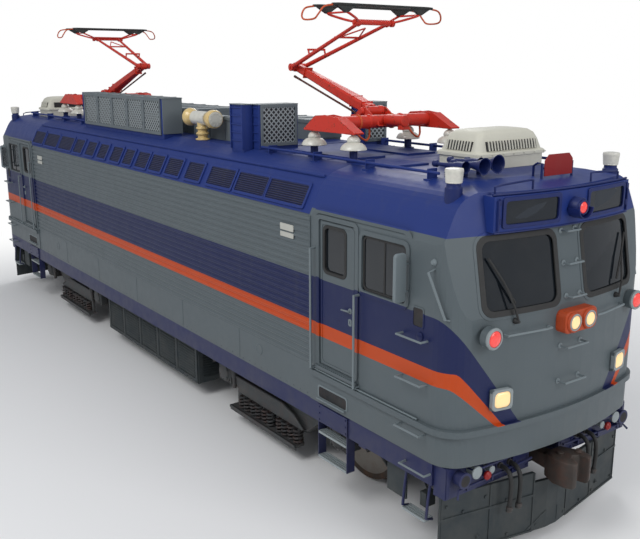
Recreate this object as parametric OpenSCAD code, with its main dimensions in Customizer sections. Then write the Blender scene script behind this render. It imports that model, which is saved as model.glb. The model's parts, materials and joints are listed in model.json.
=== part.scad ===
// Four-axle electric locomotive with two cabs and two single-arm pantographs.
// +X runs to the front end, +Z up. The origin is on the floor below the middle.

/* [Body] */
// Half of the body's width over the side panels
half_w = 1496; // [1350:1:1650]
// Distance from the middle to the end of a side panel
panel_x = 5025; // [4600:5:5400]
// Underside of the side sill
sill_z = 917; // [880:1:960]
// Top of the underframe, where the side panels stand
deck_z = 1166; // [1140:1:1220]
// Top of the side panels, where the roof begins
eaves_z = 3379; // [3250:1:3450]
// Height of the flat roof
roof_z = 3900; // [3800:5:4000]
// Thickness of a side panel without its ribs
panel_t = 48; // [30:1:60]
// Depth of the ribs on a side panel
rib_d = 12; // [6:1:20]
// Distance from one rib to the next
rib_pitch = 77; // [60:1:100]
// Height of the lowest rib
rib_z0 = 1600; // [1500:5:1700]

/* [Cab] */
// Distance from the middle to the tip of the nose
nose_x = 7527; // [7400:1:7650]
// Radius of the nose's bow, seen from above
bow_r = 5000; // [3500:50:8000]
// Radius of the nose's corners, seen from above
corner_r = 300; // [200:10:400]
// Height of the edge under the windscreens, where the nose starts to lean back
lean_z = 2690; // [2600:5:2750]
// Lean of the windscreens from upright, in degrees
lean = 10.5; // [6:0.5:14]
// Thickness of the cab's walls
cab_t = 50; // [35:1:60]
// Height of the cab's floor
cab_floor_z = 1600; // [1560:5:1640]

/* [Doors] */
// Distance from the end of a side panel to the hinged edge of a door opening
door_inset = 195; // [155:5:235]
// Width of a door opening
door_w = 640; // [560:5:660]
// Underside of a door opening
door_z0 = 1660; // [1640:5:1700]
// Height of a door opening
door_h = 1690; // [1600:5:1700]
// Clearance round a door
door_gap = 8; // [6:1:15]

/* [Running gear] */
// Distance from the middle to a bogie's turning centre
bogie_x = 3860; // [3700:5:3950]
// Distance between the two axles of a bogie
wheelbase = 2750; // [2600:10:2900]
// Radius of a wheel over its flange
flange_r = 650; // [600:1:660]
// Height of a wheel's flange above its tread
flange_h = 28; // [24:1:34]
// Distance between the inner faces of two wheels on an axle
back_to_back = 1353; // [1350:1:1380]

/* [Pantographs] */
// Distance from the middle to a pantograph's main pivot
panto_x = 4300; // [4200:5:4380]
// Height of the main pivot above the flat roof
panto_h = 540; // [520:5:600]
// Length of each of the two arms between pivots
arm_len = 1763; // [1600:1:1850]
// Angle of the arms above level as they stand, in degrees
arm_angle = 17.6; // [10:0.1:40]
// Width of the collector head over its horns
head_w = 1996; // [1800:2:2200]

/* [Hidden] */

SEAT = 0.3;              // gap between pieces that stand on each other
END = [1, -1];           // front end and rear end
SIDE = [1, -1];          // left side and right side

// ---- placing helpers ----
// The rear end is the front end turned half round.
module at_end(e) { rotate([0, 0, e > 0 ? 0 : 180]) children(); }
module both_ends() { for (e = END) at_end(e) children(); }
module both_sides() { for (s = SIDE) scale_y(s) children(); }
module scale_y(s) { if (s > 0) children(); else mirror([0, 1, 0]) children(); }
// A box from its lowest corner to its highest corner.
module box(lo, hi) { translate(lo) cube([hi[0] - lo[0], hi[1] - lo[1], hi[2] - lo[2]]); }
// A round bar from one point to another.
module bar(a, b, r) {
  d = b - a;
  translate(a)
    rotate([0, acos(d[2] / norm(d)), atan2(d[1], d[0])])
      cylinder(r = r, h = norm(d), $fn = 24);
}
// A tube of flat facets swept along a list of points.
module tube(points, r, sides) {
  n = len(points);
  function unit(v) = v / norm(v);
  function tangent(i) = unit(
    (i < n - 1 ? unit(points[i + 1] - points[i]) : [0, 0, 0])
      + (i > 0 ? unit(points[i] - points[i - 1]) : [0, 0, 0]));
  // The sweep plane's normal: rails and hoses bend in one plane each.
  plane = unit(cross(points[1] - points[0], points[2] - points[1]));
  ring_points = [for (i = [0 : n - 1], k = [0 : sides - 1])
    let (up = cross(tangent(i), plane), a = 360 * k / sides)
      points[i] + r * (cos(a) * plane + sin(a) * up)];
  walls = [for (i = [0 : n - 2], k = [0 : sides - 1]) let (k2 = (k + 1) % sides)
    [(i + 1) * sides + k, (i + 1) * sides + k2, i * sides + k2, i * sides + k]];
  polyhedron(ring_points, concat([[for (k = [0 : sides - 1]) k]], walls,
    [[for (k = [sides - 1 : -1 : 0]) (n - 1) * sides + k]]));
}
module rail(points, r) { tube(points, r, 8); }
// Points of an arc about a centre, from one angle to another.
function arc(c, r, a0, a1, n) = [for (i = [0 : n]) let (a = a0 + (a1 - a0) * i / n) c + r * [cos(a), sin(a)]];

// ---- body sections ----
// Half of the cross-section at the roof: [distance from the middle, height].
shoulder_y = half_w - 216;
shoulder_z = roof_z - 100;
crown_y = half_w - 600;
shoulder_run = 170;      // how far the rounding of the shoulder reaches each way
function roof_line(g) =
  let (a = [half_w - g, eaves_z], b = [shoulder_y - g, shoulder_z - g * 0.45],
    c = [crown_y - g * 0.6, roof_z - g],
    p = b + shoulder_run * (a - b) / norm(a - b), q = b + shoulder_run * (c - b) / norm(c - b))
  concat([a], [for (t = [0 : 0.2 : 1]) pow(1 - t, 2) * p + 2 * t * (1 - t) * b + t * t * q], [c]);
function mirrored(line) = [for (i = [len(line) - 1 : -1 : 0]) [-line[i][0], line[i][1]]];
// The body's cross-section from a height z0 up, drawn in by g.
module body_section(g, z0) {
  polygon(concat([[-(half_w - g), z0], [half_w - g, z0]], roof_line(g), mirrored(roof_line(g))));
}

// Outline of a cab seen from above, drawn in by g.
corner_cy = half_w - corner_r;
bow_cx = nose_x - bow_r;
corner_cx = bow_cx + sqrt(pow(bow_r - corner_r, 2) - pow(corner_cy, 2));
bow_a = atan2(corner_cy, corner_cx - bow_cx);
module cab_plan(g, x0) {
  polygon(concat(
    [[x0, -(half_w - g)]],
    arc([corner_cx, -corner_cy], corner_r - g, -90, -bow_a, 6),
    arc([bow_cx, 0], bow_r - g, -bow_a, bow_a, 12),
    arc([corner_cx, corner_cy], corner_r - g, bow_a, 90, 6),
    [[x0, half_w - g]]));
}
// How far out the nose's face is at a distance y from the middle.
function bow_at(y) = bow_cx + sqrt(bow_r * bow_r - y * y);
// The bowed face of the windscreens leans back about the edge below them.
module leaning_bow(g) {
  translate([nose_x - g, 0, lean_z])
    rotate([0, -lean, 0])
      translate([-bow_r, 0, -4000]) cylinder(r = bow_r, h = 8000, $fn = 720);
}
// The form under a cab's roof, which slopes to the sides and to the header box.
module under_roof(g) {
  intersection() {
    rotate([90, 0, 90]) linear_extrude(nose_x + 100) body_section(g, 0);
    rotate([90, 0, 0]) translate([0, 0, -half_w - 1]) linear_extrude(2 * half_w + 2)
      polygon([[0, 0], [nose_x + 50, 0], [nose_x + 50, header_z1 - g], [header_x + 60 - g, header_z1 - g],
        [header_x - 420 - g, roof_z - g], [0, roof_z - g]]);
  }
}
// A cab's outer form drawn in by g, from z0 up.
module cab_form(g, x0, z0) {
  intersection() {
    translate([0, 0, z0]) linear_extrude(roof_z) cab_plan(g, x0);
    leaning_bow(g);
    under_roof(g);
  }
}

// ---- front openings and what fits them ----
door_x0 = panel_x + door_inset;
header_x = nose_x - 227;          // back of the header box that carries the number boards
header_front_x = nose_x - 69;     // front of the header box at the middle
header_half_w = half_w - 461;
header_z0 = roof_z - 417;
header_z1 = roof_z - 77;
board_y0 = 235;                   // number board: inner and outer edge, lower and upper edge
board_y1 = header_half_w - 120;
board_z0 = header_z0 + 62;
board_z1 = header_z1 - 43;
ws_y0 = 215;                      // windscreen: inner and outer edge, lower and upper edge
ws_y1 = half_w - 361;
ws_z0 = lean_z + 22;
ws_z1 = header_z0 - 68;
window_x0 = door_x0 + door_w + 125;
side_win = [window_x0, window_x0 + 685, lean_z + 20, eaves_z - 79];   // x0, x1, z0, z1
door_win = [door_x0 + 80, door_x0 + door_w - 175, lean_z + 80, eaves_z - 99];
glass_t = 12;

module windscreen_hole(s, grow) {
  y0 = s > 0 ? ws_y0 - grow : -ws_y1 - grow;
  box([nose_x - 500, y0, ws_z0 - grow], [nose_x + 100, y0 + ws_y1 - ws_y0 + 2 * grow, ws_z1 + grow]);
}
module side_hole(w, s) {
  box([w[0], s > 0 ? half_w - 200 : -half_w - 50, w[2]], [w[1], s > 0 ? half_w + 50 : -half_w + 200, w[3]]);
}
door_box = [door_x0, door_x0 + door_w, door_z0, door_z0 + door_h];

// ---- carbody ----
beam_x1 = nose_x - 257;
beam_x0 = beam_x1 - 168;
beam_half_w = half_w - 42;
beam_z0 = 820;
beam_z1 = 1158;
pocket_half_w = 240;
sill_t = 60;
sill_foot_y = half_w - 16;

floor_z0 = 1430;         // floor plate over the wheels
floor_z1 = 1490;
web_y = half_w - rib_d - panel_t - SEAT;   // outer face of the sill above the side panels' foot
wheel_reach = wheelbase / 2 + flange_r;   // from a bogie's centre to the far side of its wheels
jack_x = bogie_x + wheel_reach + 105;
BEAMS = [0, bogie_x - wheel_reach - 55, jack_x];   // cross beams, from the middle
spring_seat_z = 1100;
pocket_x0 = beam_x0 - 542;
pocket_z0 = 740;
coupler_z = 880;
pin_r = 38;
centre_pin_r = 110;
jack_pad = [60, 40, 20];   // half length, half width and depth of a jacking pad
module underframe() {
  color([0.16, 0.18, 0.40]) {
    difference() {
      union() {
        box([-beam_x0, -web_y, floor_z0], [beam_x0, web_y, floor_z1]);
        for (s = SIDE) scale_y(s) {
          box([-beam_x0, web_y - sill_t, sill_z], [beam_x0, web_y, floor_z0 + 1]);
          box([-beam_x0, web_y - 1, sill_z], [beam_x0, sill_foot_y, deck_z]);
          for (x = [-bogie_x, bogie_x])
            box([x - 540, frame_y - 110, spring_seat_z], [x + 540, web_y - sill_t + 1, floor_z0 + 1]);
        }
        for (b = BEAMS, e = b > 0 ? END : [1])
          box([e * b - 50, -web_y + 1, sill_z], [e * b + 50, web_y - 1, floor_z0 + 1]);
        for (e = END) at_end(e)
          box([pocket_x0, -pocket_half_w - 40, pocket_z0], [beam_x0, pocket_half_w + 40, floor_z0 + 1]);
        // jacking pads under the sills
        for (x = [-jack_x, jack_x], s = SIDE) translate([x, s * (sill_foot_y - 40), sill_z - jack_pad[2]])
          box([-jack_pad[0], -jack_pad[1], 0], [jack_pad[0], jack_pad[1], jack_pad[2] + 1]);
      }
      for (e = END) at_end(e) {
        box([pocket_x0 + 40, -pocket_half_w, pocket_z0 + 40], [beam_x0 + 1, pocket_half_w, 1040]);
        box([pocket_x0 + 40, -pocket_half_w, 1080], [beam_x0 - 40, pocket_half_w, floor_z0 - 1]);
      }
    }
    // coupler pivot pins
    for (e = END) at_end(e)
      translate([coupler_pivot_x, 0, pocket_z0 + 35]) cylinder(r = pin_r, h = 270, $fn = 48);
    // bogie centre pins
    for (e = END) translate([e * bogie_x, 0, flange_r - 130])
      cylinder(r = centre_pin_r, h = floor_z0 - flange_r + 140, $fn = 48);
  }
}

lift_z = 1440;
lift_r = 60;
module side_wall(s) {
  ribs = floor((eaves_z - rib_z0) / rib_pitch);
  color([0.35, 0.38, 0.39])
    scale_y(s) difference() {
      rotate([90, 0, 90]) translate([0, 0, -panel_x]) linear_extrude(2 * panel_x)
        polygon(concat(
          [[half_w - rib_d - panel_t, deck_z + SEAT], [half_w - rib_d, deck_z + SEAT]],
          [for (i = [0 : ribs - 1], p = [[0, 0], [rib_d, 12], [rib_d, 44], [0, 56]])
            [half_w - rib_d + p[0], rib_z0 + i * rib_pitch + p[1]]],
          [[half_w - rib_d, eaves_z - SEAT], [half_w - rib_d - panel_t, eaves_z - SEAT]]));
      for (x = [-bogie_x, bogie_x])
        translate([x, half_w - 100, lift_z]) rotate([-90, 0, 0]) cylinder(r = lift_r, h = 200, $fn = 64);
    }
}

roof_t = 50;
module roof() {
  inner = roof_line(roof_t);
  color([0.20, 0.26, 0.52])
    rotate([90, 0, 90]) translate([0, 0, -panel_x]) linear_extrude(2 * panel_x)
      polygon(concat(roof_line(0), mirrored(roof_line(0)),
        [for (p = inner) [-p[0], p[1]]], [for (i = [len(inner) - 1 : -1 : 0]) inner[i]]));
}

hinge_r = 10;            // door hinge: barrel, its axis and the heights of its leaves
hinge_x = door_x0 + 4;
hinge_y = half_w - 64;
hinge_z = [1900, 2500, 3100];
belt_z0 = 1496;
belt_z1 = 1562;
belt_d = 42;
module cab() {
  color([0.36, 0.39, 0.40]) {
    for (s = SIDE, z = hinge_z) scale_y(s)
      box([hinge_x - 60, hinge_y - 6, z - 50], [hinge_x - hinge_r - SEAT, half_w - cab_t + 1, z + 50]);
    difference() {
      union() {
        difference() {
          cab_form(0, panel_x + SEAT, deck_z + SEAT);
          cab_form(cab_t, panel_x + cab_t, cab_floor_z);
          intersection() {
            cab_form(cab_t, panel_x - 1, deck_z - 1);
            box([panel_x - 1, -half_w, 0], [nose_x, half_w, floor_z1 + SEAT]);
          }
        }
        // belt lip round the nose
        difference() {
          translate([0, 0, belt_z0]) linear_extrude(belt_z1 - belt_z0) cab_plan(-belt_d, panel_x + 40);
          translate([0, 0, belt_z0 - 1]) linear_extrude(belt_z1 - belt_z0 + 2) cab_plan(1, panel_x - 100);
        }
        // header box over the windscreens
        intersection() {
          box([header_x - 200, -header_half_w, header_z0], [nose_x, header_half_w, header_z1]);
          translate([header_front_x - bow_r, 0, 0]) cylinder(r = bow_r, h = roof_z, $fn = 720);
          difference() {
            box([0, -half_w, 0], [nose_x, half_w, roof_z]);
            cab_form(cab_t - 1, panel_x, deck_z);
          }
        }
      }
      for (s = SIDE) {
        windscreen_hole(s, 0);
        side_hole(side_win, s);
        side_hole(door_box, s);
        // number board windows
        scale_y(s) box([header_front_x - 150, board_y0, board_z0], [nose_x, board_y1, board_z1]);
      }
      // ways from the cab through its back wall into the machine room
      for (s = SIDE)
        scale_y(s) box([panel_x - 1, 700, cab_floor_z], [panel_x + cab_t + 1, half_w - 196, eaves_z + 21]);
    }
  }
}

// Walls across the body at the machine room's ends.
module bulkheads() {
  color([0.75, 0.76, 0.74])
    both_ends() translate([panel_x - 60, 0, 0]) rotate([90, 0, 90]) linear_extrude(50)
      body_section(130, floor_z1 + SEAT);
}

module end_beams() {
  color([0.16, 0.18, 0.40])
    both_ends() difference() {
      box([beam_x0 + SEAT, -beam_half_w, beam_z0], [beam_x1, beam_half_w, beam_z1]);
      box([beam_x0 - 1, -pocket_half_w, 700], [beam_x1 + 1, pocket_half_w, 1060]);
    }
}

// A plough-shaped guard under each end beam.
pilot_z0 = 130;
pilot_y = beam_half_w - 14;
module pilots() {
  color([0.22, 0.24, 0.26])
    both_ends() {
      difference() {
        translate([beam_x1, 0, pilot_z0]) linear_extrude(beam_z0 - SEAT - pilot_z0)
          polygon([[-100, -pilot_y], [-70, -pilot_y], [170, -90], [170, 90], [-70, pilot_y], [-100, pilot_y],
            [130, 80], [130, -80]]);
        // way for the coupler
        box([beam_x1 - 400, -270, beam_z0 - 120], [beam_x1 + 230, 270, beam_z0 + 80]);
      }
      for (s = SIDE) scale_y(s)
        box([beam_x1 - 150, pilot_y - 440, 300], [beam_x1 - 20, pilot_y - 424, beam_z0 - SEAT]);
    }
}

module windscreens() {
  color([0.10, 0.12, 0.14, 0.6])
    both_ends() for (s = SIDE) intersection() {
      difference() {
        cab_form(14, panel_x, 2000);
        cab_form(14 + glass_t, panel_x, 1900);
      }
      windscreen_hole(s, -SEAT);
    }
}

module cab_side_windows() {
  w = side_win;
  color([0.10, 0.12, 0.14, 0.6])
    both_ends() for (s = SIDE) scale_y(s)
      box([w[0] + SEAT, half_w - 26, w[2] + SEAT], [w[1] - SEAT, half_w - 26 + glass_t, w[3] - SEAT]);
}

desk_half_w = half_w - 396;
// Profile of the desk: [back from the nose, height].
DESK = [[477, cab_floor_z + SEAT], [327, cab_floor_z + SEAT], [247, lean_z - 240], [267, lean_z - 70],
  [377, lean_z - 90], [827, lean_z - 290], [827, lean_z - 350], [547, lean_z - 390]];
module cab_desks() {
  color([0.25, 0.27, 0.30])
    both_ends() rotate([90, 0, 0]) translate([0, 0, -desk_half_w]) linear_extrude(2 * desk_half_w)
      polygon([for (p = DESK) [nose_x - p[0], p[1]]]);
}

module cab_seats() {
  color([0.15, 0.16, 0.18])
    both_ends() for (y = [-620, 620]) translate([nose_x - 1197, y, cab_floor_z + SEAT]) {
      cylinder(r = 60, h = 401, $fn = 32);
      box([-230, -240, 400], [230, 240, 500]);
      box([-310, -240, 440], [-229, 240, 1100]);
    }
}

// Entry ladders below the doors and stirrups at the corners: [x0, x1, tread heights].
module ladder(x0, x1, y, treads, top) {
  for (x = [x0, x1 - 30]) box([x, y - 8, treads[0] - 12], [x + 30, y + 8, top]);
  for (z = treads) box([x0 + 30 - 1, y - 100, z - 12], [x1 - 29, y + 8, z + 12]);
}
module steps() {
  color([0.16, 0.18, 0.40])
    both_ends() for (s = SIDE) scale_y(s) {
      ladder(door_x0 - 40, door_x0 + 520, sill_foot_y + 8 + SEAT, [490, 800], 1120);
      ladder(nose_x - 847, nose_x - 477, sill_foot_y + 8 + SEAT, [500], 930);
    }
}

// Grab irons: [x0, x1, height] on the side, standing off the wall.
hand_r = 16;
iron_r = 12;
stand_off = 70;
module side_rail(x, z0, z1, w) {
  rail([[x, w, z0], [x, w + stand_off, z0], [x, w + stand_off, z1], [x, w, z1]], hand_r);
}
module side_iron(x0, x1, z, w) {
  rail([[x0, w, z], [x0, w + 90, z], [x1, w + 90, z], [x1, w, z]], iron_r);
}
module handrails() {
  w = half_w + SEAT;
  color([0.35, 0.38, 0.40])
    both_ends() {
      for (s = SIDE) scale_y(s) {
        side_rail(door_x0 - 90, cab_floor_z, 3010, w);
        side_rail(door_x0 + door_w + 70, cab_floor_z, 2640, w);
        for (z = [2417, 1967, 1440]) side_iron(nose_x - 887, nose_x - 527, z, w);
        side_iron(nose_x - 817, nose_x - 447, 1040, sill_foot_y + SEAT);
        rail([[bow_at(363 - iron_r) + SEAT, 363, 2490], [bow_at(363) + 60, 363, 2490],
          [bow_at(363) + 60, 450, 2490],
          [bow_at(917) + 60, 917, 2490], [bow_at(917 - iron_r) + SEAT, 917, 2490]], iron_r);
      }
      // climbing irons on the nose
      for (z = [1868, 2248]) rail([[bow_at(160 - iron_r) + SEAT, -160, z], [nose_x + 100, -160, z],
        [nose_x + 100, 160, z], [bow_at(160 - iron_r) + SEAT, 160, z]], iron_r);
    }
}

module mirrors() {
  color([0.10, 0.11, 0.12])
    both_ends() for (s = SIDE) scale_y(s) {
      translate([side_win[1] + 30, half_w, 0]) {
        box([0, 40, side_win[2] + 20], [30, 200, side_win[3] - 30]);
        box([5, SEAT, side_win[2] + 240], [25, 41, side_win[2] + 270]);
      }
    }
}

// Round lamps on the nose: [beyond the nose's tip, y, z, radius].
LAMPS = [[-11, half_w - 371, 2506, 105], [137, 118, 2519, 88]];
square_y = half_w - 566;
module end_lamps() {
  color([0.75, 0.30, 0.20])
    both_ends() {
      for (l = LAMPS, s = SIDE) let (back_x = bow_at(l[1] - l[3]) + SEAT)
        translate([back_x, s * l[1], l[2]]) rotate([0, 90, 0])
          cylinder(r = l[3], h = nose_x + l[0] - back_x, $fn = 48);
      for (s = SIDE) translate([bow_cx, 0, 1842]) rotate([0, 0, s * asin(square_y / bow_r)])
        box([bow_r + SEAT, -120, -105], [bow_r + 41, 120, 105]);
      // red lamp over the windscreens
      translate([header_front_x + SEAT, 0, header_z0 + 169]) rotate([0, 90, 0])
        cylinder(r = 75, h = 104, $fn = 48);
    }
}

module sign_plates() {
  color([0.85, 0.85, 0.82])
    both_ends() {
      for (s = SIDE) scale_y(s) intersection() {
        box([header_front_x - 150 + SEAT, board_y0 + SEAT, board_z0 + SEAT],
          [nose_x, board_y1 - SEAT, board_z1 - SEAT]);
        translate([header_front_x - 12 - bow_r, 0, 0]) cylinder(r = bow_r, h = roof_z, $fn = 720);
      }
    }
}

wiper_y = ws_y1 - 341;
wiper_r = 9;
module wipers() {
  x = bow_at(wiper_y - wiper_r) + SEAT;
  color([0.08, 0.08, 0.09])
    both_ends() for (s = SIDE) scale_y(s)
      rail([[x, wiper_y, ws_z0 - 98], [x + 45, wiper_y, ws_z0 - 98], [x - 10, wiper_y - 60, ws_z0 + 267],
        [x - 50, wiper_y - 20, ws_z0 + 478]], wiper_r);
}

// The transformer's tank hangs below the middle of the underframe.
tank_x = bogie_x - wheel_reach - 95;
tank_half_w = half_w - 196;
module main_transformer() {
  color([0.22, 0.24, 0.25])
    box([-tank_x, -tank_half_w, 230], [tank_x, tank_half_w, sill_z - SEAT]);
}

// ---- roof equipment ----
// Anything that stands on the body's roof reaches down to its slope.
module on_roof(b) {
  difference() {
    box([b[0], b[2], shoulder_z], [b[1], b[3], b[4]]);
    translate([b[0] - 1, 0, 0]) rotate([90, 0, 90]) linear_extrude(b[1] - b[0] + 2) body_section(-SEAT, 0);
  }
}
// Resistor and cooling cages: [x0, x1, y0, y1, height].
cage_y = half_w - 436;
cage_z = roof_z + 590;
CAGES = [
  [2550, 2870, -cage_y, 130 - cage_y, cage_z], [2790, 3050, 160 - cage_y, -320, cage_z],
  [3000, 3300, cage_y - 380, cage_y, cage_z], [-3000, 430, -cage_y, 300 - cage_y, cage_z]];
module roof_screens() {
  color([0.20, 0.24, 0.50]) for (c = CAGES) on_roof(c);
}
// Air ducts and covers along the roof: [x0, x1, y0, y1, height].
DUCTS = [[600, 2500, -600, -420, roof_z + 350], [-2400, 430, -420, 420, roof_z + 400],
  [900, 2300, 450, cage_y - 60, roof_z + 300]];
module roof_ducts() {
  color([0.45, 0.48, 0.50]) for (d = DUCTS) on_roof(d);
}

breaker_y = -(crown_y - 86);
breaker_z = roof_z + 325;
module circuit_breaker() {
  color([0.84, 0.74, 0.52]) {
    translate([1390, breaker_y, roof_z + SEAT]) cylinder(r = 75, h = 280, $fn = 48);
    translate([820, breaker_y, breaker_z]) rotate([0, 90, 0]) cylinder(r = 70, h = 860, $fn = 48);
    for (x = [820, 1660]) translate([x, breaker_y, breaker_z])
      rotate([0, 90, 0]) cylinder(r = 120, h = 30, $fn = 48);
  }
}

ac_x = nose_x - 1837;    // back of an air conditioner
module air_conditioners() {
  color([0.74, 0.73, 0.67])
    both_ends() translate([ac_x, 0, roof_z]) {
      box([30, -200, SEAT], [640, 860, 160]);
      box([0, -230, 160], [670, 890, 210]);
      box([60, -170, 210], [610, 830, 420]);
    }
}

module horns() {
  color([0.55, 0.57, 0.58])
    both_ends() for (y = [-560, -400]) translate([ac_x + 610, y, roof_z]) {
      box([40, -30, SEAT], [100, 30, 90]);
      translate([0, 0, 110]) rotate([0, 90, 0]) cylinder(r1 = 25, r2 = 30, h = 300, $fn = 32);
      translate([300, 0, 110]) rotate([0, 90, 0]) cylinder(r1 = 30, r2 = 85, h = 180, $fn = 32);
    }
}

lantern = [nose_x - 537, half_w - 286];
module roof_lanterns() {
  color([0.80, 0.80, 0.78])
    both_ends() for (s = SIDE) scale_y(s) {
      difference() {
        translate([lantern[0], lantern[1], eaves_z]) cylinder(r = 80, h = roof_z - eaves_z, $fn = 48);
        under_roof(-SEAT);
      }
      translate([lantern[0], lantern[1], roof_z - 1]) cylinder(r = 66, h = 151, $fn = 48);
    }
}

// ---- pantographs ----
panto_z = roof_z + panto_h;
INS_X = [panto_x - 193, panto_x + 597];
ins_y = crown_y - 121;
ins_top = roof_z + 320;
base_half_w = ins_y + 75;
module roof_insulators() {
  color([0.82, 0.82, 0.80])
    both_ends() for (x = INS_X, s = SIDE) translate([x, s * ins_y, roof_z + SEAT]) {
      cylinder(r = 45, h = ins_top - roof_z - 2 * SEAT, $fn = 48);
      for (z = [50 : 55 : 270]) translate([0, 0, z]) cylinder(r1 = 85, r2 = 50, h = 22, $fn = 48);
    }
}
pivot_r = 28;
module pantograph_bases() {
  color([0.80, 0.22, 0.16])
    both_ends() {
      for (x = INS_X) box([x - 40, -base_half_w, ins_top], [x + 40, base_half_w, ins_top + 70]);
      for (s = SIDE) scale_y(s) {
        box([INS_X[0] - 200, 150, ins_top + 5], [INS_X[1] + 120, 200, ins_top + 65]);
        box([panto_x - 60, 150, ins_top + 60], [panto_x + 60, 180, panto_z + 50]);
      }
      translate([panto_x, -181, panto_z]) rotate([-90, 0, 0]) cylinder(r = pivot_r, h = 362, $fn = 48);
      // raising cylinder
      translate([panto_x + 120, 0, ins_top + 100]) rotate([0, 90, 0]) cylinder(r = 60, h = 440, $fn = 48);
      // pin of the coupling rod
      translate([rod_pivot[0], -151, rod_pivot[2]]) rotate([-90, 0, 0]) cylinder(r = 12, h = 302, $fn = 48);
      for (s = SIDE) scale_y(s)
        box([rod_pivot[0] - 40, 150, ins_top + 60], [rod_pivot[0] + 40, 180, rod_pivot[2] + 40]);
      box([INS_X[1] - 40, -60, ins_top + 60], [INS_X[1] + 0, 60, ins_top + 160]);
    }
}

// Each arm is drawn along +X from its own pivot, then turned to its angle.
lower_r = 55;
upper_foot_y = 100;
upper_top_y = 230;
module lower_arm() {
  color([0.45, 0.16, 0.13])
    translate([panto_x, 0, panto_z]) rotate([0, 180 + arm_angle, 0]) {
      difference() {
        union() {
          rotate([90, 0, 0]) translate([0, 0, -140]) cylinder(r = 60, h = 280, $fn = 48);
          rotate([0, 90, 0]) cylinder(r = lower_r, h = arm_len - 60, $fn = 48);
          translate([arm_len, -60, 0]) rotate([-90, 0, 0]) cylinder(r = 62, h = 120, $fn = 48);
        }
        rotate([90, 0, 0]) translate([0, 0, -200]) cylinder(r = pivot_r + 1, h = 400, $fn = 48);
      }
      translate([arm_len, -150, 0]) rotate([-90, 0, 0]) cylinder(r = 20, h = 300, $fn = 48);
    }
}
knee = [panto_x - arm_len * cos(arm_angle), 0, panto_z + arm_len * sin(arm_angle)];
apex = [panto_x, 0, panto_z + 2 * arm_len * sin(arm_angle)];
module upper_arm() {
  color([0.80, 0.22, 0.16])
    translate(knee) rotate([0, -arm_angle, 0]) {
      for (s = SIDE) scale_y(s) {
        difference() {
          translate([0, 70, 0]) rotate([-90, 0, 0]) cylinder(r = 50, h = 60, $fn = 48);
          translate([0, 60, 0]) rotate([-90, 0, 0]) cylinder(r = 21, h = 80, $fn = 48);
        }
        bar([48, upper_foot_y, 0], [arm_len, upper_top_y, 0], 24);
      }
      translate([arm_len, -260, 0]) rotate([-90, 0, 0]) cylinder(r = 26, h = 520, $fn = 48);
      translate([arm_len, -320, 0]) rotate([-90, 0, 0]) cylinder(r = 19.5, h = 640, $fn = 48);
      // brace that clears the lower arm when the arms are folded
      translate([500, -140, 85]) rotate([-90, 0, 0]) cylinder(r = 14, h = 280, $fn = 48);
      for (s = SIDE) translate([500, s * 134, 0]) cylinder(r = 14, h = 85, $fn = 48);
    }
}
strip_z = 206;
module head() {
  color([0.10, 0.12, 0.12])
    translate(apex) {
      for (s = SIDE) scale_y(s) {
        difference() {
          translate([0, 270, 0]) rotate([-90, 0, 0]) cylinder(r = 44, h = 40, $fn = 48);
          translate([0, 260, 0]) rotate([-90, 0, 0]) cylinder(r = 20, h = 60, $fn = 48);
        }
        for (x = [-190, 190]) bar([sign(x) * 36, 290, 16], [x, 290, strip_z - 30], 14);
        for (x = [-190, 190])
          rail([[x, 700, strip_z - 14], [x, head_w / 2 - 120, strip_z - 30],
            [x, head_w / 2 - 16, strip_z - 190]], 14);
      }
      for (x = [-190, 190]) box([x - 25, -760, strip_z - 34], [x + 25, 760, strip_z]);
    }
}
rod_pivot = [panto_x - 200, 0, panto_z - 90];
module coupling_rod() {
  color([0.45, 0.16, 0.13])
    translate(rod_pivot) rotate([0, 180 + arm_angle, 0]) difference() {
      union() {
        rotate([90, 0, 0]) translate([0, 0, -30]) cylinder(r = 28, h = 60, $fn = 48);
        rotate([0, 90, 0]) cylinder(r = 14, h = arm_len - 120, $fn = 32);
      }
      rotate([90, 0, 0]) translate([0, 0, -40]) cylinder(r = 12.5, h = 80, $fn = 48);
    }
}

// ---- hoses ----
// Route of the brake hose nearest the middle: [out, across, up] from the beam's face.
HOSE_A = [[0, 0, 0], [40, 0, 0], [80, 0, -10], [115, 0, -38], [138, 0, -85], [148, 0, -145],
  [150, 0, -210], [148, 0, -280], [144, 0, -345], [140, 0, -400]];
HOSES = [-700, -560, 560, 700];
hose_z = 990;
hose_r = 24;
hose_end_a = 4.2;        // lean of the hose's end from upright, towards the beam
fitting_x = beam_x1 + 40;
module hose_fittings() {
  color([0.35, 0.35, 0.36])
    both_ends() for (y = HOSES) {
      translate([beam_x1 + SEAT, y, hose_z]) rotate([0, 90, 0]) cylinder(r = 34, h = 40 - SEAT, $fn = 32);
    }
}
module hose_set() {
  color([0.10, 0.10, 0.11])
    for (y = HOSES) {
      translate([fitting_x, y, hose_z]) tube(HOSE_A, hose_r, 10);
      translate([fitting_x, y, hose_z] + HOSE_A[len(HOSE_A) - 1])
        rotate([0, 180 + hose_end_a, 0]) translate([0, 0, SEAT]) cylinder(r = 36, h = 60, $fn = 32);
    }
}

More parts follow.
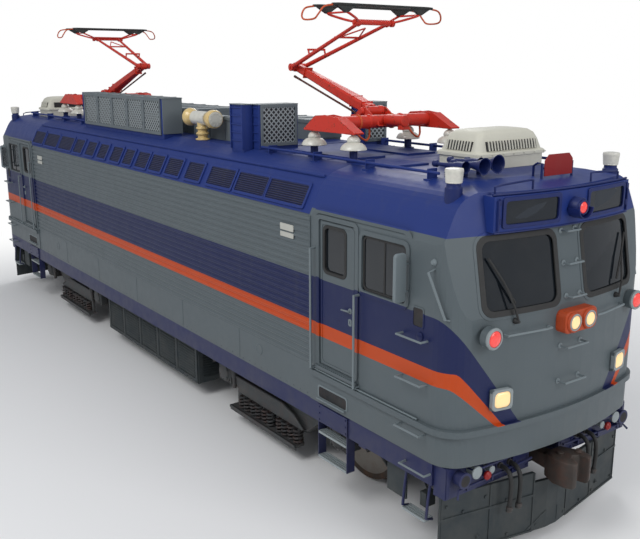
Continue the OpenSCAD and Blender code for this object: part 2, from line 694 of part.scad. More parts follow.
// ---- running gear ----
axle_r = 90;
tread_w = 112;
module wheelset(x) {
  color([0.30, 0.30, 0.31])
    translate([x, 0, flange_r]) {
      rotate([90, 0, 0]) translate([0, 0, -1130]) cylinder(r = axle_r, h = 2260, $fn = 64);
      for (s = SIDE) scale_y(s) translate([0, back_to_back / 2, 0]) rotate([-90, 0, 0]) {
        difference() {
          union() {
            cylinder(r = flange_r, h = 24, $fn = 128);
            translate([0, 0, 24]) cylinder(r1 = flange_r, r2 = flange_r - flange_h, h = 10, $fn = 128);
            cylinder(r = flange_r - flange_h, h = tread_w + 24, $fn = 128);
          }
          for (z = [-1, 100]) translate([0, 0, z]) difference() {
            cylinder(r = flange_r - 100, h = 40, $fn = 128);
            translate([0, 0, -1]) cylinder(r = 170, h = 42, $fn = 64);
          }
        }
      }
    }
}

frame_y = 1090;
frame_half_t = 90;
frame_top_z = flange_r + 110;    // top of a side frame between the axles
box_h = 131;                     // axle box above and below its axle
module bogie_frame() {
  a = wheelbase / 2;
  color([0.20, 0.22, 0.23]) {
    for (s = SIDE) scale_y(s) {
      rotate([90, 0, 0]) translate([0, flange_r, -frame_y - frame_half_t]) linear_extrude(2 * frame_half_t)
        polygon([[-a - 480, -10], [-a - 480, 150], [-a - 300, 230], [-a + 330, 230], [-700, 110], [700, 110],
          [a - 330, 230], [a + 300, 230], [a + 480, 150], [a + 480, -10], [a + 330, 130], [a - 330, 130],
          [620, -230], [-620, -230], [-a + 330, 130], [-a - 330, 130]]);
      for (x = [-a, a]) translate([x, 0, flange_r]) difference() {
        box([-150, frame_y - 80, -150], [150, frame_y + 130, box_h]);
        translate([0, frame_y - 200, 0]) rotate([-90, 0, 0]) cylinder(r = axle_r + 0.1, h = 260, $fn = 64);
      }
    }
    // cross members, and the plate with the centre pin's hole
    translate([0, 0, flange_r]) {
      for (x = [-340, 200]) box([x, frame_half_t - frame_y - 1, -170],
        [x + 140, frame_y - frame_half_t + 1, 50]);
      difference() {
        box([-201, -200, -170], [201, 200, 40]);
        translate([0, 0, -180]) cylinder(r = centre_pin_r + 10, h = 240, $fn = 48);
      }
    }
  }
}
module bogie_springs() {
  color([0.16, 0.17, 0.18])
    for (s = SIDE, x = [-430, 0, 430])
      translate([x, s * frame_y, frame_top_z + SEAT])
        cylinder(r = 85, h = spring_seat_z - frame_top_z - 6 - SEAT, $fn = 48);
}
motor_r = 270;
module motors() {
  a = wheelbase / 2;
  color([0.22, 0.23, 0.24])
    for (s = [-1, 1]) union() {
      translate([s * (a - 480), 0, flange_r + 10]) rotate([90, 0, 0])
        translate([0, 0, -480]) cylinder(r = motor_r, h = 960, $fn = 64);
      // nose that hangs on the frame's cross member
      box([s > 0 ? 340 + SEAT : -a + 480, -150, flange_r - 130],
        [s > 0 ? a - 480 : -340 - SEAT, 150, flange_r + 30]);
    }
}

// ---- doors ----
door_t = 42;
door_in = cab_t - 2;     // distance from the outer skin to a door's inner face
module door() {
  g = door_gap;
  color([0.36, 0.39, 0.40]) {
    difference() {
      box([door_x0 + g, half_w - door_in, door_z0 + g],
        [door_x0 + door_w - g, half_w - door_in + door_t, door_z0 + door_h - g]);
      side_hole(door_win, 1);
    }
    for (z = hinge_z) {
      translate([hinge_x, hinge_y, z - 50]) cylinder(r = hinge_r, h = 100, $fn = 32);
      box([hinge_x, hinge_y - 5, z - 50], [hinge_x + 40, hinge_y + 5, z + 50]);
      box([hinge_x + 14, hinge_y, z - 50], [hinge_x + 40, half_w - door_in + 1, z + 50]);
    }
  }
}

// ---- couplers ----
coupler_pivot_x = beam_x1 - 420;
coupler_front_x = nose_x + 268;
module coupler() {
  color([0.24, 0.20, 0.18]) {
    difference() {
      union() {
        box([coupler_pivot_x, -65, coupler_z - 70], [coupler_front_x - 375, 65, coupler_z + 70]);
        translate([coupler_pivot_x, 0, coupler_z - 70]) cylinder(r = 90, h = 140, $fn = 48);
      }
      translate([coupler_pivot_x, 0, coupler_z - 80]) cylinder(r = pin_r + 1, h = 160, $fn = 48);
    }
    // knuckle, from above: [back from the coupling face, across]
    translate([coupler_front_x, 0, coupler_z - 150]) linear_extrude(300)
      polygon([[-395, -120], [-235, -190], [-95, -180], [0, -140], [0, -60], [-105, -60], [-145, 20],
        [-105, 90], [0, 120], [-35, 200], [-155, 230], [-235, 190], [-395, 110]]);
  }
}

underframe();
side_wall(1);  // left_side_wall
side_wall(-1);  // right_side_wall
roof();
at_end(1) cab();  // front_cab
at_end(-1) cab();  // rear_cab
bulkheads();
end_beams();
pilots();
windscreens();
cab_side_windows();
cab_desks();
cab_seats();
steps();
handrails();
mirrors();
end_lamps();
sign_plates();
wipers();
main_transformer();
roof_screens();
roof_ducts();
circuit_breaker();
air_conditioners();
horns();
roof_lanterns();
pantograph_bases();
roof_insulators();
hose_fittings();
at_end(1) hose_set();  // front_hoses
at_end(-1) hose_set();  // rear_hoses
translate([bogie_x, 0, 0]) bogie_frame();  // front_bogie_frame
translate([bogie_x, 0, 0]) bogie_springs();  // front_bogie_springs
translate([bogie_x, 0, 0]) motors();  // front_motors
translate([-bogie_x, 0, 0]) bogie_frame();  // rear_bogie_frame
translate([-bogie_x, 0, 0]) bogie_springs();  // rear_bogie_springs
translate([-bogie_x, 0, 0]) motors();  // rear_motors
wheelset(bogie_x + wheelbase / 2);  // wheelset_1
wheelset(bogie_x - wheelbase / 2);  // wheelset_2
wheelset(-bogie_x + wheelbase / 2);  // wheelset_3
wheelset(-bogie_x - wheelbase / 2);  // wheelset_4
door();  // front_left_door
scale_y(-1) door();  // front_right_door
rotate([0, 0, 180]) scale_y(-1) door();  // rear_left_door
rotate([0, 0, 180]) door();  // rear_right_door
lower_arm();  // front_lower_arm
upper_arm();  // front_upper_arm
head();  // front_head
coupling_rod();  // front_coupling_rod
at_end(-1) lower_arm();  // rear_lower_arm
at_end(-1) upper_arm();  // rear_upper_arm
at_end(-1) head();  // rear_head
at_end(-1) coupling_rod();  // rear_coupling_rod
coupler();  // front_coupler
at_end(-1) coupler();  // rear_coupler
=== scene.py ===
"""Looks of the four-axle electric locomotive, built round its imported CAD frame."""

import json
import math
import bpy
import bmesh
from mathutils import Matrix, Vector


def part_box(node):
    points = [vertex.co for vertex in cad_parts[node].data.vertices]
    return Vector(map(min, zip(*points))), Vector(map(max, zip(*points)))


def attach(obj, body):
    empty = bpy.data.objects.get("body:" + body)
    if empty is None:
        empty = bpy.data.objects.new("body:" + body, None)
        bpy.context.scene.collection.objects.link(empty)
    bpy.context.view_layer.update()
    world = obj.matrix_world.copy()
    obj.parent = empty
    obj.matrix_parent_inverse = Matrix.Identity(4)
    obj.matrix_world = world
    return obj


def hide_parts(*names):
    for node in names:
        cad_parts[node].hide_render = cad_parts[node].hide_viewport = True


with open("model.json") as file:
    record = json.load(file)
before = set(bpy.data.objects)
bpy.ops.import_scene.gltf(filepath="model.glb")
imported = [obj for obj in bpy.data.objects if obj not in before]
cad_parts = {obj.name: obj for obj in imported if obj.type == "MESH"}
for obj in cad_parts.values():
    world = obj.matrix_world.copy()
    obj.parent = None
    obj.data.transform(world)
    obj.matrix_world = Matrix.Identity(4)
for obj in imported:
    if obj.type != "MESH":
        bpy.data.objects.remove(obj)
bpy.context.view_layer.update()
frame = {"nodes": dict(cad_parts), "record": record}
nodes = frame["nodes"]
BOTH = (1, -1)

# ---------------------------------------------------------------- camera
CAMERA_AT = Vector((12.530, -6.747, 5.020))
CAMERA_LOOK = Vector((-0.78286, 0.57461, -0.23863))
CAMERA_LENS = 46.457       # mm on a 36 mm sensor
CAMERA_SHIFT = (-0.0125, -0.0045)


def make_camera():
    data = bpy.data.cameras.new("camera")
    data.lens = CAMERA_LENS
    data.sensor_width = 36
    data.shift_x, data.shift_y = CAMERA_SHIFT
    data.clip_end = 200
    cam = bpy.data.objects.new("camera", data)
    cam.location = CAMERA_AT
    cam.rotation_euler = CAMERA_LOOK.to_track_quat("-Z", "Y").to_euler()
    bpy.context.scene.collection.objects.link(cam)
    bpy.context.scene.camera = cam


make_camera()

# ---------------------------------------------------------------- main places, from the frame
SKIN_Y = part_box("left_side_wall")[1][1]
NOSE_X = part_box("front_cab")[1][0] - 0.042
ROOF_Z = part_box("roof")[1][2]
BOGIE_X, AXLE_X, AXLE_Z = 3.860, 1.375, .65     # the axles stand AXLE_X each side of the bogie's middle
HEADLIGHT_Z, TOP_LAMP_Z = 2.519, 3.652
EAVES_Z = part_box("left_side_wall")[1][2]
HEADER_X = NOSE_X - 0.069
BOW_R = 5.0
LEAN_Z, LEAN = 2.690, math.radians(10.5)


# ---------------------------------------------------------------- material tools
def srgb(r, g, b):
    """A colour written in 0-255 screen values, as the shader wants it."""
    def linear(c):
        c /= 255
        return c / 12.92 if c <= 0.04045 else ((c + 0.055) / 1.055) ** 2.4
    return (linear(r), linear(g), linear(b), 1)


class Shader:
    """A material with short calls for the nodes that this scene uses."""

    def __init__(self, name):
        self.mat = bpy.data.materials.new(name)
        self.mat.use_nodes = True
        self.tree = self.mat.node_tree
        self.bsdf = self.tree.nodes["Principled BSDF"]
        self.place = self.add("ShaderNodeTexCoord").outputs["Object"]

    def add(self, kind, **settings):
        node = self.tree.nodes.new(kind)
        for key, value in settings.items():
            setattr(node, key, value)
        return node

    def put(self, socket, value):
        if hasattr(value, "is_linked"):
            self.tree.links.new(value, socket)
        else:
            socket.default_value = value

    def math(self, how, a, b=0.0, c=0.0):
        node = self.add("ShaderNodeMath", operation=how)
        for i, value in enumerate((a, b, c)):
            self.put(node.inputs[i], value)
        return node.outputs[0]

    def times(self, a, b):
        return self.math("MULTIPLY", a, b)

    def mix(self, amount, a, b, how="MIX"):
        node = self.add("ShaderNodeMix", data_type="RGBA", blend_type=how)
        self.put(node.inputs["Factor"], amount)
        self.put(node.inputs["A"], a)
        self.put(node.inputs["B"], b)
        return node.outputs["Result"]

    def noise(self, scale, detail=3, rough=0.5, stretch=(1, 1, 1), distort=0.0):
        mapping = self.add("ShaderNodeMapping")
        mapping.inputs["Scale"].default_value = stretch
        self.put(mapping.inputs["Vector"], self.place)
        node = self.add("ShaderNodeTexNoise")
        node.inputs["Scale"].default_value = scale
        node.inputs["Detail"].default_value = detail
        node.inputs["Roughness"].default_value = rough
        node.inputs["Distortion"].default_value = distort
        self.put(node.inputs["Vector"], mapping.outputs[0])
        return node.outputs["Fac"]

    def ramp(self, value, low, high):
        node = self.add("ShaderNodeMapRange", interpolation_type="SMOOTHSTEP")
        self.put(node.inputs["Value"], value)
        node.inputs["From Min"].default_value = low
        node.inputs["From Max"].default_value = high
        return node.outputs[0]

    def xyz(self):
        split = self.add("ShaderNodeSeparateXYZ")
        self.put(split.inputs[0], self.place)
        return split.outputs

    def bump(self, height, strength, distance):
        node = self.add("ShaderNodeBump")
        node.inputs["Strength"].default_value = strength
        node.inputs["Distance"].default_value = distance
        self.put(node.inputs["Height"], height)
        self.put(self.bsdf.inputs["Normal"], node.outputs[0])

    def finish(self, colour, rough=0.4, metal=0.0, coat=0.0):
        self.put(self.bsdf.inputs["Base Color"], colour)
        self.put(self.bsdf.inputs["Roughness"], rough)
        self.bsdf.inputs["Metallic"].default_value = metal
        self.bsdf.inputs["Coat Weight"].default_value = coat
        return self.mat


NAVY = srgb(16, 27, 72)
# the roof's blue is the band's navy made lighter: painted light on the roof's top
ROOF_BLUE_WITH_PAINTED_LIGHT = srgb(24, 46, 112)
GREY = srgb(84, 93, 97)
ORANGE = srgb(184, 66, 8)
DUST = srgb(96, 94, 88)
RUST = srgb(96, 52, 32)
LINING = srgb(150, 152, 145)
BELT_Z, BLUE_Z = 1.555, 3.45            # the stripes run between the belt's lip and the blue of the roof
NAVY_TOP, NAVY_SLOPE = 2.672, 1.372     # heights on the side, and how steeply each edge falls over the nose
ORANGE_TOP, ORANGE_SLOPE, ORANGE_START = 2.145, 1.17, 1.385
ORANGE_LOW, LOW_SLOPE, LOW_START = 1.988, 0.93, 1.435
SLOPE_RUN = 0.513                       # how far the roof's side panel leans in for each metre up
DUST_TOP, DUST_FULL = 1.55, 0.75        # road dust starts under the belt and is full at bogie height


def worn_paint(name, colour, rough=0.42, dirt=0.25, chips=0.0, low_dirt=True, bands=None):
    """Painted sheet metal: uneven tone, dust, run marks and small chips."""
    s = Shader(name)
    if bands:
        colour = bands(s)
    tone = s.ramp(s.noise(1.3, 4), 0.3, 0.7)
    col = s.mix(s.times(tone, 0.12), colour, s.mix(1.0, colour, (1.25, 1.25, 1.25, 1), "MULTIPLY"))
    runs = s.ramp(s.noise(6.0, 5, 0.6, (1, 1, 0.08)), 0.52, 0.78)
    col = s.mix(s.times(runs, dirt), col, s.mix(0.5, col, DUST))
    fine = s.ramp(s.noise(38, 3, 0.7), 0.55, 0.8)
    col = s.mix(s.times(fine, dirt * 0.3), col, DUST)
    if low_dirt:
        z = s.xyz()[2]
        low = s.times(s.ramp(z, DUST_TOP, DUST_FULL), s.ramp(s.noise(3.0, 5, 0.65), 0.25, 0.75))
        col = s.mix(s.times(low, 0.28), col, DUST)
    if chips:
        spots = s.ramp(s.noise(22, 6, 0.75, distort=0.4), 0.70 - chips * 0.2, 0.72 - chips * 0.2)
        col = s.mix(spots, col, RUST)
    roughness = s.math("ADD", rough - 0.06, s.times(s.noise(9, 4), 0.16))
    s.bump(s.noise(90, 2), 0.12, 0.004)
    s.bsdf.inputs["Specular IOR Level"].default_value = 0.35
    return s.finish(col, roughness)


def livery(s):
    """Grey body, navy band over an orange line, both sweeping down the nose, and above the eaves a blue
    that is the navy made lighter as painted light on the roof.
    """
    _, y, z = s.xyz()
    across = s.math("ABSOLUTE", y)

    def edge(top, slope, start):
        sweep = s.math("MULTIPLY_ADD", s.math("SUBTRACT", across, start), slope, top)
        return s.math("SMOOTH_MIN", sweep, top, 0.05)

    def above(height):
        return s.math("GREATER_THAN", z, height)

    navy_top = s.math("MULTIPLY_ADD", s.math("SUBTRACT", across, SKIN_Y), NAVY_SLOPE, NAVY_TOP)
    orange_top = edge(ORANGE_TOP, ORANGE_SLOPE, ORANGE_START)
    orange_low = edge(ORANGE_LOW, LOW_SLOPE, LOW_START)
    col = s.mix(above(orange_low), GREY, ORANGE)
    col = s.mix(above(orange_top), col, NAVY)
    col = s.mix(above(navy_top), col, GREY)
    col = s.mix(above(BELT_Z), GREY, col)
    # above BLUE_Z the navy is made lighter: painted light on the roof
    return s.mix(above(BLUE_Z), col, ROOF_BLUE_WITH_PAINTED_LIGHT)


def cab_livery(s):
    """The livery outside and pale lining inside the cab."""
    outside = livery(s)
    x, y, z = s.xyz()
    across = s.math("ABSOLUTE", y)
    lean_in = s.times(s.math("MAXIMUM", s.math("SUBTRACT", z, EAVES_Z), 0.0), SLOPE_RUN)
    inner = s.math("LESS_THAN", s.math("ADD", across, lean_in), SKIN_Y - 0.045)
    crown = s.times(s.math("MAXIMUM", s.math("SUBTRACT", across, 0.87), 0.0), 0.25)
    inner = s.times(inner, s.math("LESS_THAN", s.math("ADD", z, crown), ROOF_Z - 0.045))
    inner = s.times(inner, s.math("GREATER_THAN", z, 1.59))
    inner = s.times(inner, s.math("LESS_THAN", s.math("ABSOLUTE", x), NOSE_X - 0.42))
    return s.mix(inner, outside, LINING)


def cast_metal(name, colour, rough=0.6, metal=0.4, rust=0.3):
    """Rough cast or forged metal with dust and rust."""
    s = Shader(name)
    blotch = s.ramp(s.noise(7, 6, 0.7), 0.4, 0.7)
    col = s.mix(s.times(blotch, rust), colour, RUST)
    dusty = s.ramp(s.noise(3.2, 5, 0.6), 0.4, 0.75)
    col = s.mix(s.times(dusty, 0.22), col, DUST)
    s.bump(s.noise(60, 5, 0.7), 0.4, 0.004)
    return s.finish(col, s.math("MULTIPLY_ADD", s.noise(12, 3), 0.2, rough - 0.1), metal)


def wheel_metal():
    """Wheelset: a dark rusty web. The bright treads are pieces of their own."""
    s = Shader("wheel_metal")
    web = s.mix(s.ramp(s.noise(6, 6, 0.7), 0.35, 0.7), srgb(58, 50, 44), srgb(84, 62, 46))
    s.bump(s.noise(50, 4, 0.6), 0.3, 0.004)
    return s.finish(web, s.math("MULTIPLY_ADD", s.noise(9, 3), 0.25, 0.45), 0.5)


def glazing(name, tint, rough=0.05):
    """Dark tinted window glass with a film of dust."""
    s = Shader(name)
    film = s.ramp(s.noise(4, 5, 0.6), 0.45, 0.85)
    col = s.mix(s.times(film, 0.10), tint, DUST)
    rough = s.math("MULTIPLY_ADD", film, 0.10, rough)
    s.bump(s.noise(0.8, 1), 0.05, 0.01)
    s.finish(col, rough)
    s.bsdf.inputs["Transmission Weight"].default_value = 0.25
    s.bsdf.inputs["Specular IOR Level"].default_value = 0.6
    return s.mat


def glow(name, colour, strength, rough=0.2):
    """A lamp's lens, which shines a little by itself."""
    s = Shader(name)
    cell_bumps_and_glints = s.noise(60, 2)
    s.bump(cell_bumps_and_glints, 0.3, 0.003)
    # white flecks on the lens cells are painted glints; the cells' bumps are the lens's own
    s.finish(s.mix(s.times(cell_bumps_and_glints, 0.12), colour, (1, 1, 1, 1)), rough, coat=0.4)
    s.bsdf.inputs["Emission Color"].default_value = colour
    s.bsdf.inputs["Emission Strength"].default_value = strength
    return s.mat


def glazed(name, colour, rough=0.22):
    """Glazed ceramic with a dusty film."""
    s = Shader(name)
    col = s.mix(s.times(s.ramp(s.noise(8, 5, 0.6), 0.4, 0.8), 0.3), colour, DUST)
    s.bump(s.noise(30, 2), 0.08, 0.003)
    return s.finish(col, s.math("MULTIPLY_ADD", s.noise(14, 3), 0.2, rough), coat=0.4)


def rubber(name, colour=(0.018, 0.018, 0.018, 1)):
    s = Shader(name)
    col = s.mix(s.times(s.noise(20, 4, 0.6), 0.35), colour, srgb(44, 43, 41))
    s.bump(s.noise(120, 3), 0.25, 0.002)
    return s.finish(col, s.math("MULTIPLY_ADD", s.noise(25, 2), 0.2, 0.55))


def wire_screen():
    """Woven wire with painted shade in its gaps for the hollow behind, in a painted frame."""
    s = Shader("wire_screen")
    x, y, z = s.xyz()
    pitch = 0.075

    def wires(value):
        wave = s.math("FRACT", s.math("DIVIDE", value, pitch))
        return s.math("LESS_THAN", s.math("ABSOLUTE", s.math("SUBTRACT", wave, 0.5)), 0.16)
    flat = s.math("ADD", x, y)
    weft = wires(s.math("ADD", z, flat))
    warp = wires(s.math("SUBTRACT", z, flat))
    net = s.math("MAXIMUM", weft, warp)
    # the gaps between the wires are painted near-black: painted shade of the hollow behind the screen
    col = s.mix(net, srgb(20, 24, 30), srgb(150, 158, 160))
    s.bump(net, 0.6, 0.01)
    return s.finish(col, 0.5, 0.2)


def family(make, **rows):
    """Materials of one kind, each from its name and what sets it apart."""
    return {name: make(name, **row) for name, row in rows.items()}


MATS = {"wheel_steel": wheel_metal(), "wire_screen": wire_screen()}
MATS |= family(worn_paint,
    blue_paint=dict(colour=srgb(24, 32, 78), dirt=0.2),
    grey_side_paint=dict(colour=GREY, bands=livery, dirt=0.22),
    # the roof's colour holds painted light: the band's navy made lighter
    roof_paint=dict(colour=ROOF_BLUE_WITH_PAINTED_LIGHT, rough=0.62, dirt=0.25, low_dirt=False),
    cab_paint=dict(colour=GREY, bands=cab_livery, dirt=0.18),
    interior_paint=dict(colour=LINING, low_dirt=False),
    dark_paint=dict(colour=srgb(44, 52, 56), rough=0.6, dirt=0.3),
    desk_plastic=dict(colour=srgb(52, 54, 58), rough=0.6, low_dirt=False),
    grey_steel=dict(colour=srgb(112, 122, 126), rough=0.4),
    lamp_glass=dict(colour=GREY, rough=0.35),
    board_dark=dict(colour=srgb(38, 44, 52), rough=0.4, low_dirt=False),
    duct_grey=dict(colour=srgb(98, 106, 110), rough=0.5, dirt=0.25, low_dirt=False),
    beige_paint=dict(colour=srgb(200, 198, 184), rough=0.5, dirt=0.25, low_dirt=False),
    horn_steel=dict(colour=srgb(140, 146, 150), rough=0.35, low_dirt=False),
    pantograph_red=dict(colour=srgb(196, 48, 32), rough=0.4, dirt=0.3, chips=0.5, low_dirt=False),
    header_blue=dict(colour=srgb(18, 33, 88), rough=0.45, dirt=0.2, low_dirt=False),
    louvre_blue=dict(colour=srgb(40, 46, 84), rough=0.5, dirt=0.4, low_dirt=False),
    lamp_ring=dict(colour=srgb(140, 148, 150), rough=0.35, dirt=0.3, low_dirt=False),
    hood_orange=dict(colour=srgb(168, 66, 30), rough=0.5, dirt=0.3, chips=0.3, low_dirt=False),
    sign_red=dict(colour=srgb(140, 30, 30), rough=0.4, dirt=0.2, low_dirt=False),
    plaque=dict(colour=srgb(178, 178, 170), rough=0.4, dirt=0.3, low_dirt=False))
MATS |= family(glazing,
    window_glass=dict(tint=srgb(26, 32, 38)),
    board_glass=dict(tint=srgb(30, 36, 44)))
MATS |= family(rubber,
    seat_fabric=dict(colour=srgb(30, 34, 48)),
    black_plastic=dict(),
    hose_rubber=dict(),
    lead_orange=dict(colour=srgb(206, 84, 34)))
MATS |= family(glazed,
    tan_ceramic=dict(colour=srgb(214, 186, 124)),
    lantern_white=dict(colour=srgb(208, 206, 196), rough=0.35),
    insulator_ceramic=dict(colour=srgb(205, 203, 192)))
MATS |= family(cast_metal,
    cast_fittings=dict(colour=srgb(70, 70, 70)),
    spring_steel=dict(colour=srgb(48, 50, 52)),
    motor_iron=dict(colour=srgb(44, 45, 46)),
    bogie_paint=dict(colour=srgb(58, 62, 64), rough=0.6, metal=0.1, rust=0.2),
    collector_black=dict(colour=srgb(34, 40, 40), rough=0.5, metal=0.3, rust=0.1),
    rusty_steel=dict(colour=srgb(92, 44, 34), rough=0.55, metal=0.3, rust=0.5),
    coupler_iron=dict(colour=srgb(54, 47, 43), rough=0.6, metal=0.2, rust=0.35),
    # near-black sheets set inside recesses, louvres, vents and sockets: painted shade
    dark_hollow=dict(colour=srgb(24, 26, 30), rough=0.7, metal=0.0, rust=0.1),
    chrome=dict(colour=srgb(190, 196, 200), rough=0.12, metal=1.0, rust=0.0),
    wheel_bright=dict(colour=srgb(120, 116, 110), rough=0.35, metal=0.9, rust=0.25))
MATS |= family(glow,
    lens_red=dict(colour=srgb(226, 34, 18), strength=0.35),
    lens_warm=dict(colour=srgb(246, 204, 140), strength=0.45))

SLOT_OF = {p["node"]: p["material_slot"] for p in frame["record"]["subparts"]}


def dress_cad_nodes():
    for name, obj in nodes.items():
        mat = MATS[SLOT_OF[name]]
        obj.data.materials.clear()
        obj.data.materials.append(mat)
        for poly in obj.data.polygons:
            poly.material_index = 0


dress_cad_nodes()


# ---------------------------------------------------------------- mesh tools
def turn(axis, degrees):
    return Matrix.Rotation(math.radians(degrees), 4, axis)


move = Matrix.Translation
FORE = (1, 0, 0)
THINNEST = 0.0005          # radius that stands for a point in a turned form
HALF_TURN = turn("Z", 180)
FLIP_Y = Matrix.Scale(-1, 4, (0, 1, 0))
ONE = [Matrix.Identity(4)]
ENDS = [Matrix.Identity(4), HALF_TURN]
SIDES = [Matrix.Identity(4), FLIP_Y]
CORNERS = [Matrix.Identity(4), FLIP_Y, HALF_TURN, HALF_TURN @ FLIP_Y]


def along(a, b):
    """A placing whose Z runs from a to b."""
    a, b = Vector(a), Vector(b)
    return move(a) @ (b - a).to_track_quat("Z", "X").to_matrix().to_4x4()


def circle(n):
    return [(math.cos(2 * math.pi * i / n), math.sin(2 * math.pi * i / n)) for i in range(n)]


def facing(at, way):
    """A placing at a point whose Z looks along way."""
    return along(at, Vector(at) + Vector(way))


class Kit:
    """Gathers small solids into one mesh."""

    def __init__(self):
        self.bm = bmesh.new()

    def loops(self, rings, closed=False, caps=True, m=None):
        """Skins a list of rings of points, each with as many points."""
        m = m or Matrix.Identity(4)
        rows = [[self.bm.verts.new(m @ Vector(p)) for p in ring] for ring in rings]
        n = len(rings[0])
        pairs = list(zip(rows, rows[1:] + rows[:1])) if closed else list(zip(rows, rows[1:]))
        for low, high in pairs:
            for i in range(n):
                j = (i + 1) % n
                self.bm.faces.new((low[i], low[j], high[j], high[i]))
        if caps and not closed:
            self.bm.faces.new(list(reversed(rows[0])))
            self.bm.faces.new(rows[-1])
        return self

    def box(self, a, b, m=None):
        """A block between two opposite corners, in any order."""
        lo, hi = [min(p) for p in zip(a, b)], [max(p) for p in zip(a, b)]
        flat = [(lo[0], lo[1]), (hi[0], lo[1]), (hi[0], hi[1]), (lo[0], hi[1])]
        return self.loops([[(x, y, z) for x, y in flat] for z in (lo[2], hi[2])], m=m)

    def plate(self, outline, low, high, axis=2, m=None):
        """A flat outline drawn out along an axis; its points hold the other two coordinates in order."""
        return self.loops([[(*p[:axis], t, *p[axis:]) for p in outline] for t in (low, high)], m=m)

    def lathe(self, profile, m=None, n=24):
        """A turned form about Z from [radius, height] steps."""
        steps = [(max(r, THINNEST), h) for r, h in profile]
        return self.loops([[(r * c, r * s, h) for c, s in circle(n)] for r, h in steps], m=m)

    def rod(self, a, b, r, n=12):
        return self.lathe([(r, 0), (r, (Vector(b) - Vector(a)).length)], along(a, b), n)

    def tube(self, points, r, n=8, closed=False):
        pts = [Vector(p) for p in points]
        count = len(pts)
        rings, side = [], None
        for i, p in enumerate(pts):
            before = pts[(i - 1) % count] if closed or i else p
            after = pts[(i + 1) % count] if closed or i < count - 1 else p
            ahead = (after - before).normalized()
            if side is None:
                side = ahead.orthogonal().normalized()
            side = (side - ahead * side.dot(ahead)).normalized()
            up = ahead.cross(side)
            rings.append([p + r * (c * side + s * up) for c, s in circle(n)])
        return self.loops(rings, closed=closed)

    def ring(self, outer, inner, place, back, front):
        """A frame between two flat outlines, laid on a surface by place(u, v, height)."""
        rings = [[place(u, v, back) for u, v in outer], [place(u, v, front) for u, v in outer],
                 [place(u, v, front) for u, v in inner], [place(u, v, back) for u, v in inner]]
        return self.loops(rings, closed=True)

    def rim(self, u0, u1, v0, v1, width, r, inner_r, place, back, front, corner=4, edge=1):
        """A ring whose opening is the rounded outline set in by one width."""
        outer = rounded(u0, u1, v0, v1, r, corner, edge)
        inner = rounded(u0 + width, u1 - width, v0 + width, v1 - width, inner_r, corner, edge)
        return self.ring(outer, inner, place, back, front)

    def sheet(self, outline, place, back, front):
        return self.loops([[place(u, v, back) for u, v in outline],
                           [place(u, v, front) for u, v in outline]])

    def bolts(self, places, r=0.012, h=0.008):
        """Hexagon heads: each place is a point and the way it faces."""
        for at, way in places:
            self.lathe([(r, 0), (r, h), (r * 0.8, h * 1.25)], facing(at, way), 6)
        return self

    def done(self, name, mat, copies=ONE, bevel=0.004, smooth=35, slot=None, body="carbody"):
        base = bpy.data.meshes.new(name)
        bmesh.ops.recalc_face_normals(self.bm, faces=self.bm.faces)
        self.bm.to_mesh(base)
        whole = bmesh.new()
        for m in copies:
            part = bmesh.new()
            part.from_mesh(base)
            part.transform(m)
            if m.determinant() < 0:
                bmesh.ops.reverse_faces(part, faces=part.faces)
            part.to_mesh(base_copy := bpy.data.meshes.new(name + "_copy"))
            whole.from_mesh(base_copy)
            bpy.data.meshes.remove(base_copy)
            part.free()
        whole.to_mesh(base)
        whole.free()
        self.bm.free()
        obj = bpy.data.objects.new(name, base)
        bpy.context.scene.collection.objects.link(obj)
        base.materials.append(MATS[mat])
        base.shade_smooth()
        base.set_sharp_from_angle(angle=math.radians(smooth))
        if bevel:
            mod = obj.modifiers.new("edges", "BEVEL")
            mod.width = bevel
            mod.segments = 2
            mod.limit_method = "ANGLE"
            mod.angle_limit = math.radians(40)
        slot = slot or mat
        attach(obj, body)
        return obj


def rounded(u0, u1, v0, v1, r, corner=4, edge=1):
    """A rounded rectangle with its straight edges cut into as many pieces as edge."""
    points = []
    for cu, cv, start in ((u1 - r, v1 - r, 0), (u0 + r, v1 - r, 90), (u0 + r, v0 + r, 180),
                          (u1 - r, v0 + r, 270)):
        points += [(cu + r * math.cos(math.radians(start + 90 * i / corner)),
                    cv + r * math.sin(math.radians(start + 90 * i / corner))) for i in range(corner + 1)]
    if edge == 1:
        return points
    cut, n = [], len(points)
    for i, p in enumerate(points):
        q = points[(i + 1) % n]
        steps = edge if (i + 1) % (corner + 1) == 0 else 1
        cut += [(p[0] + (q[0] - p[0]) * k / steps, p[1] + (q[1] - p[1]) * k / steps) for k in range(steps)]
    return cut


def on_nose(y, z, out=0.0):
    lean = max(0.0, z - LEAN_Z)
    fall = (BOW_R - math.sqrt(BOW_R * BOW_R - y * y)) / (math.cos(LEAN) if lean else 1)
    return Vector((NOSE_X - fall - lean * math.tan(LEAN) + out, y, z))


def on_header(y, z, out=0.0):
    return Vector((HEADER_X - BOW_R + math.sqrt(BOW_R * BOW_R - y * y) + out, y, z))


def on_side(x, z, out=0.0):
    return Vector((x, SKIN_Y + out, z))


OUT_Y, OUT_Z = 0.8897, 0.4565          # the way out from the roof's side panel, in Y and Z


def on_slope(x, z, out=0.0):
    return Vector((x, SKIN_Y - (z - EAVES_Z) * SLOPE_RUN + out * OUT_Y, z + out * OUT_Z))


# ---------------------------------------------------------------- hoses, before everything else
HOSE_ROUTE = [(0, 0, 0), (.040, 0, 0), (.080, 0, -.010), (.115, 0, -.038), (.138, 0, -.085),
              (.148, 0, -.145), (.150, 0, -.210), (.148, 0, -.280), (.144, 0, -.345), (.140, 0, -.400)]
HOSE_Y = (-.700, -.560, .560, .700)
HOSE_R, HOSE_Z = .024, .990
HOSE_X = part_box("hose_fittings")[1][0]


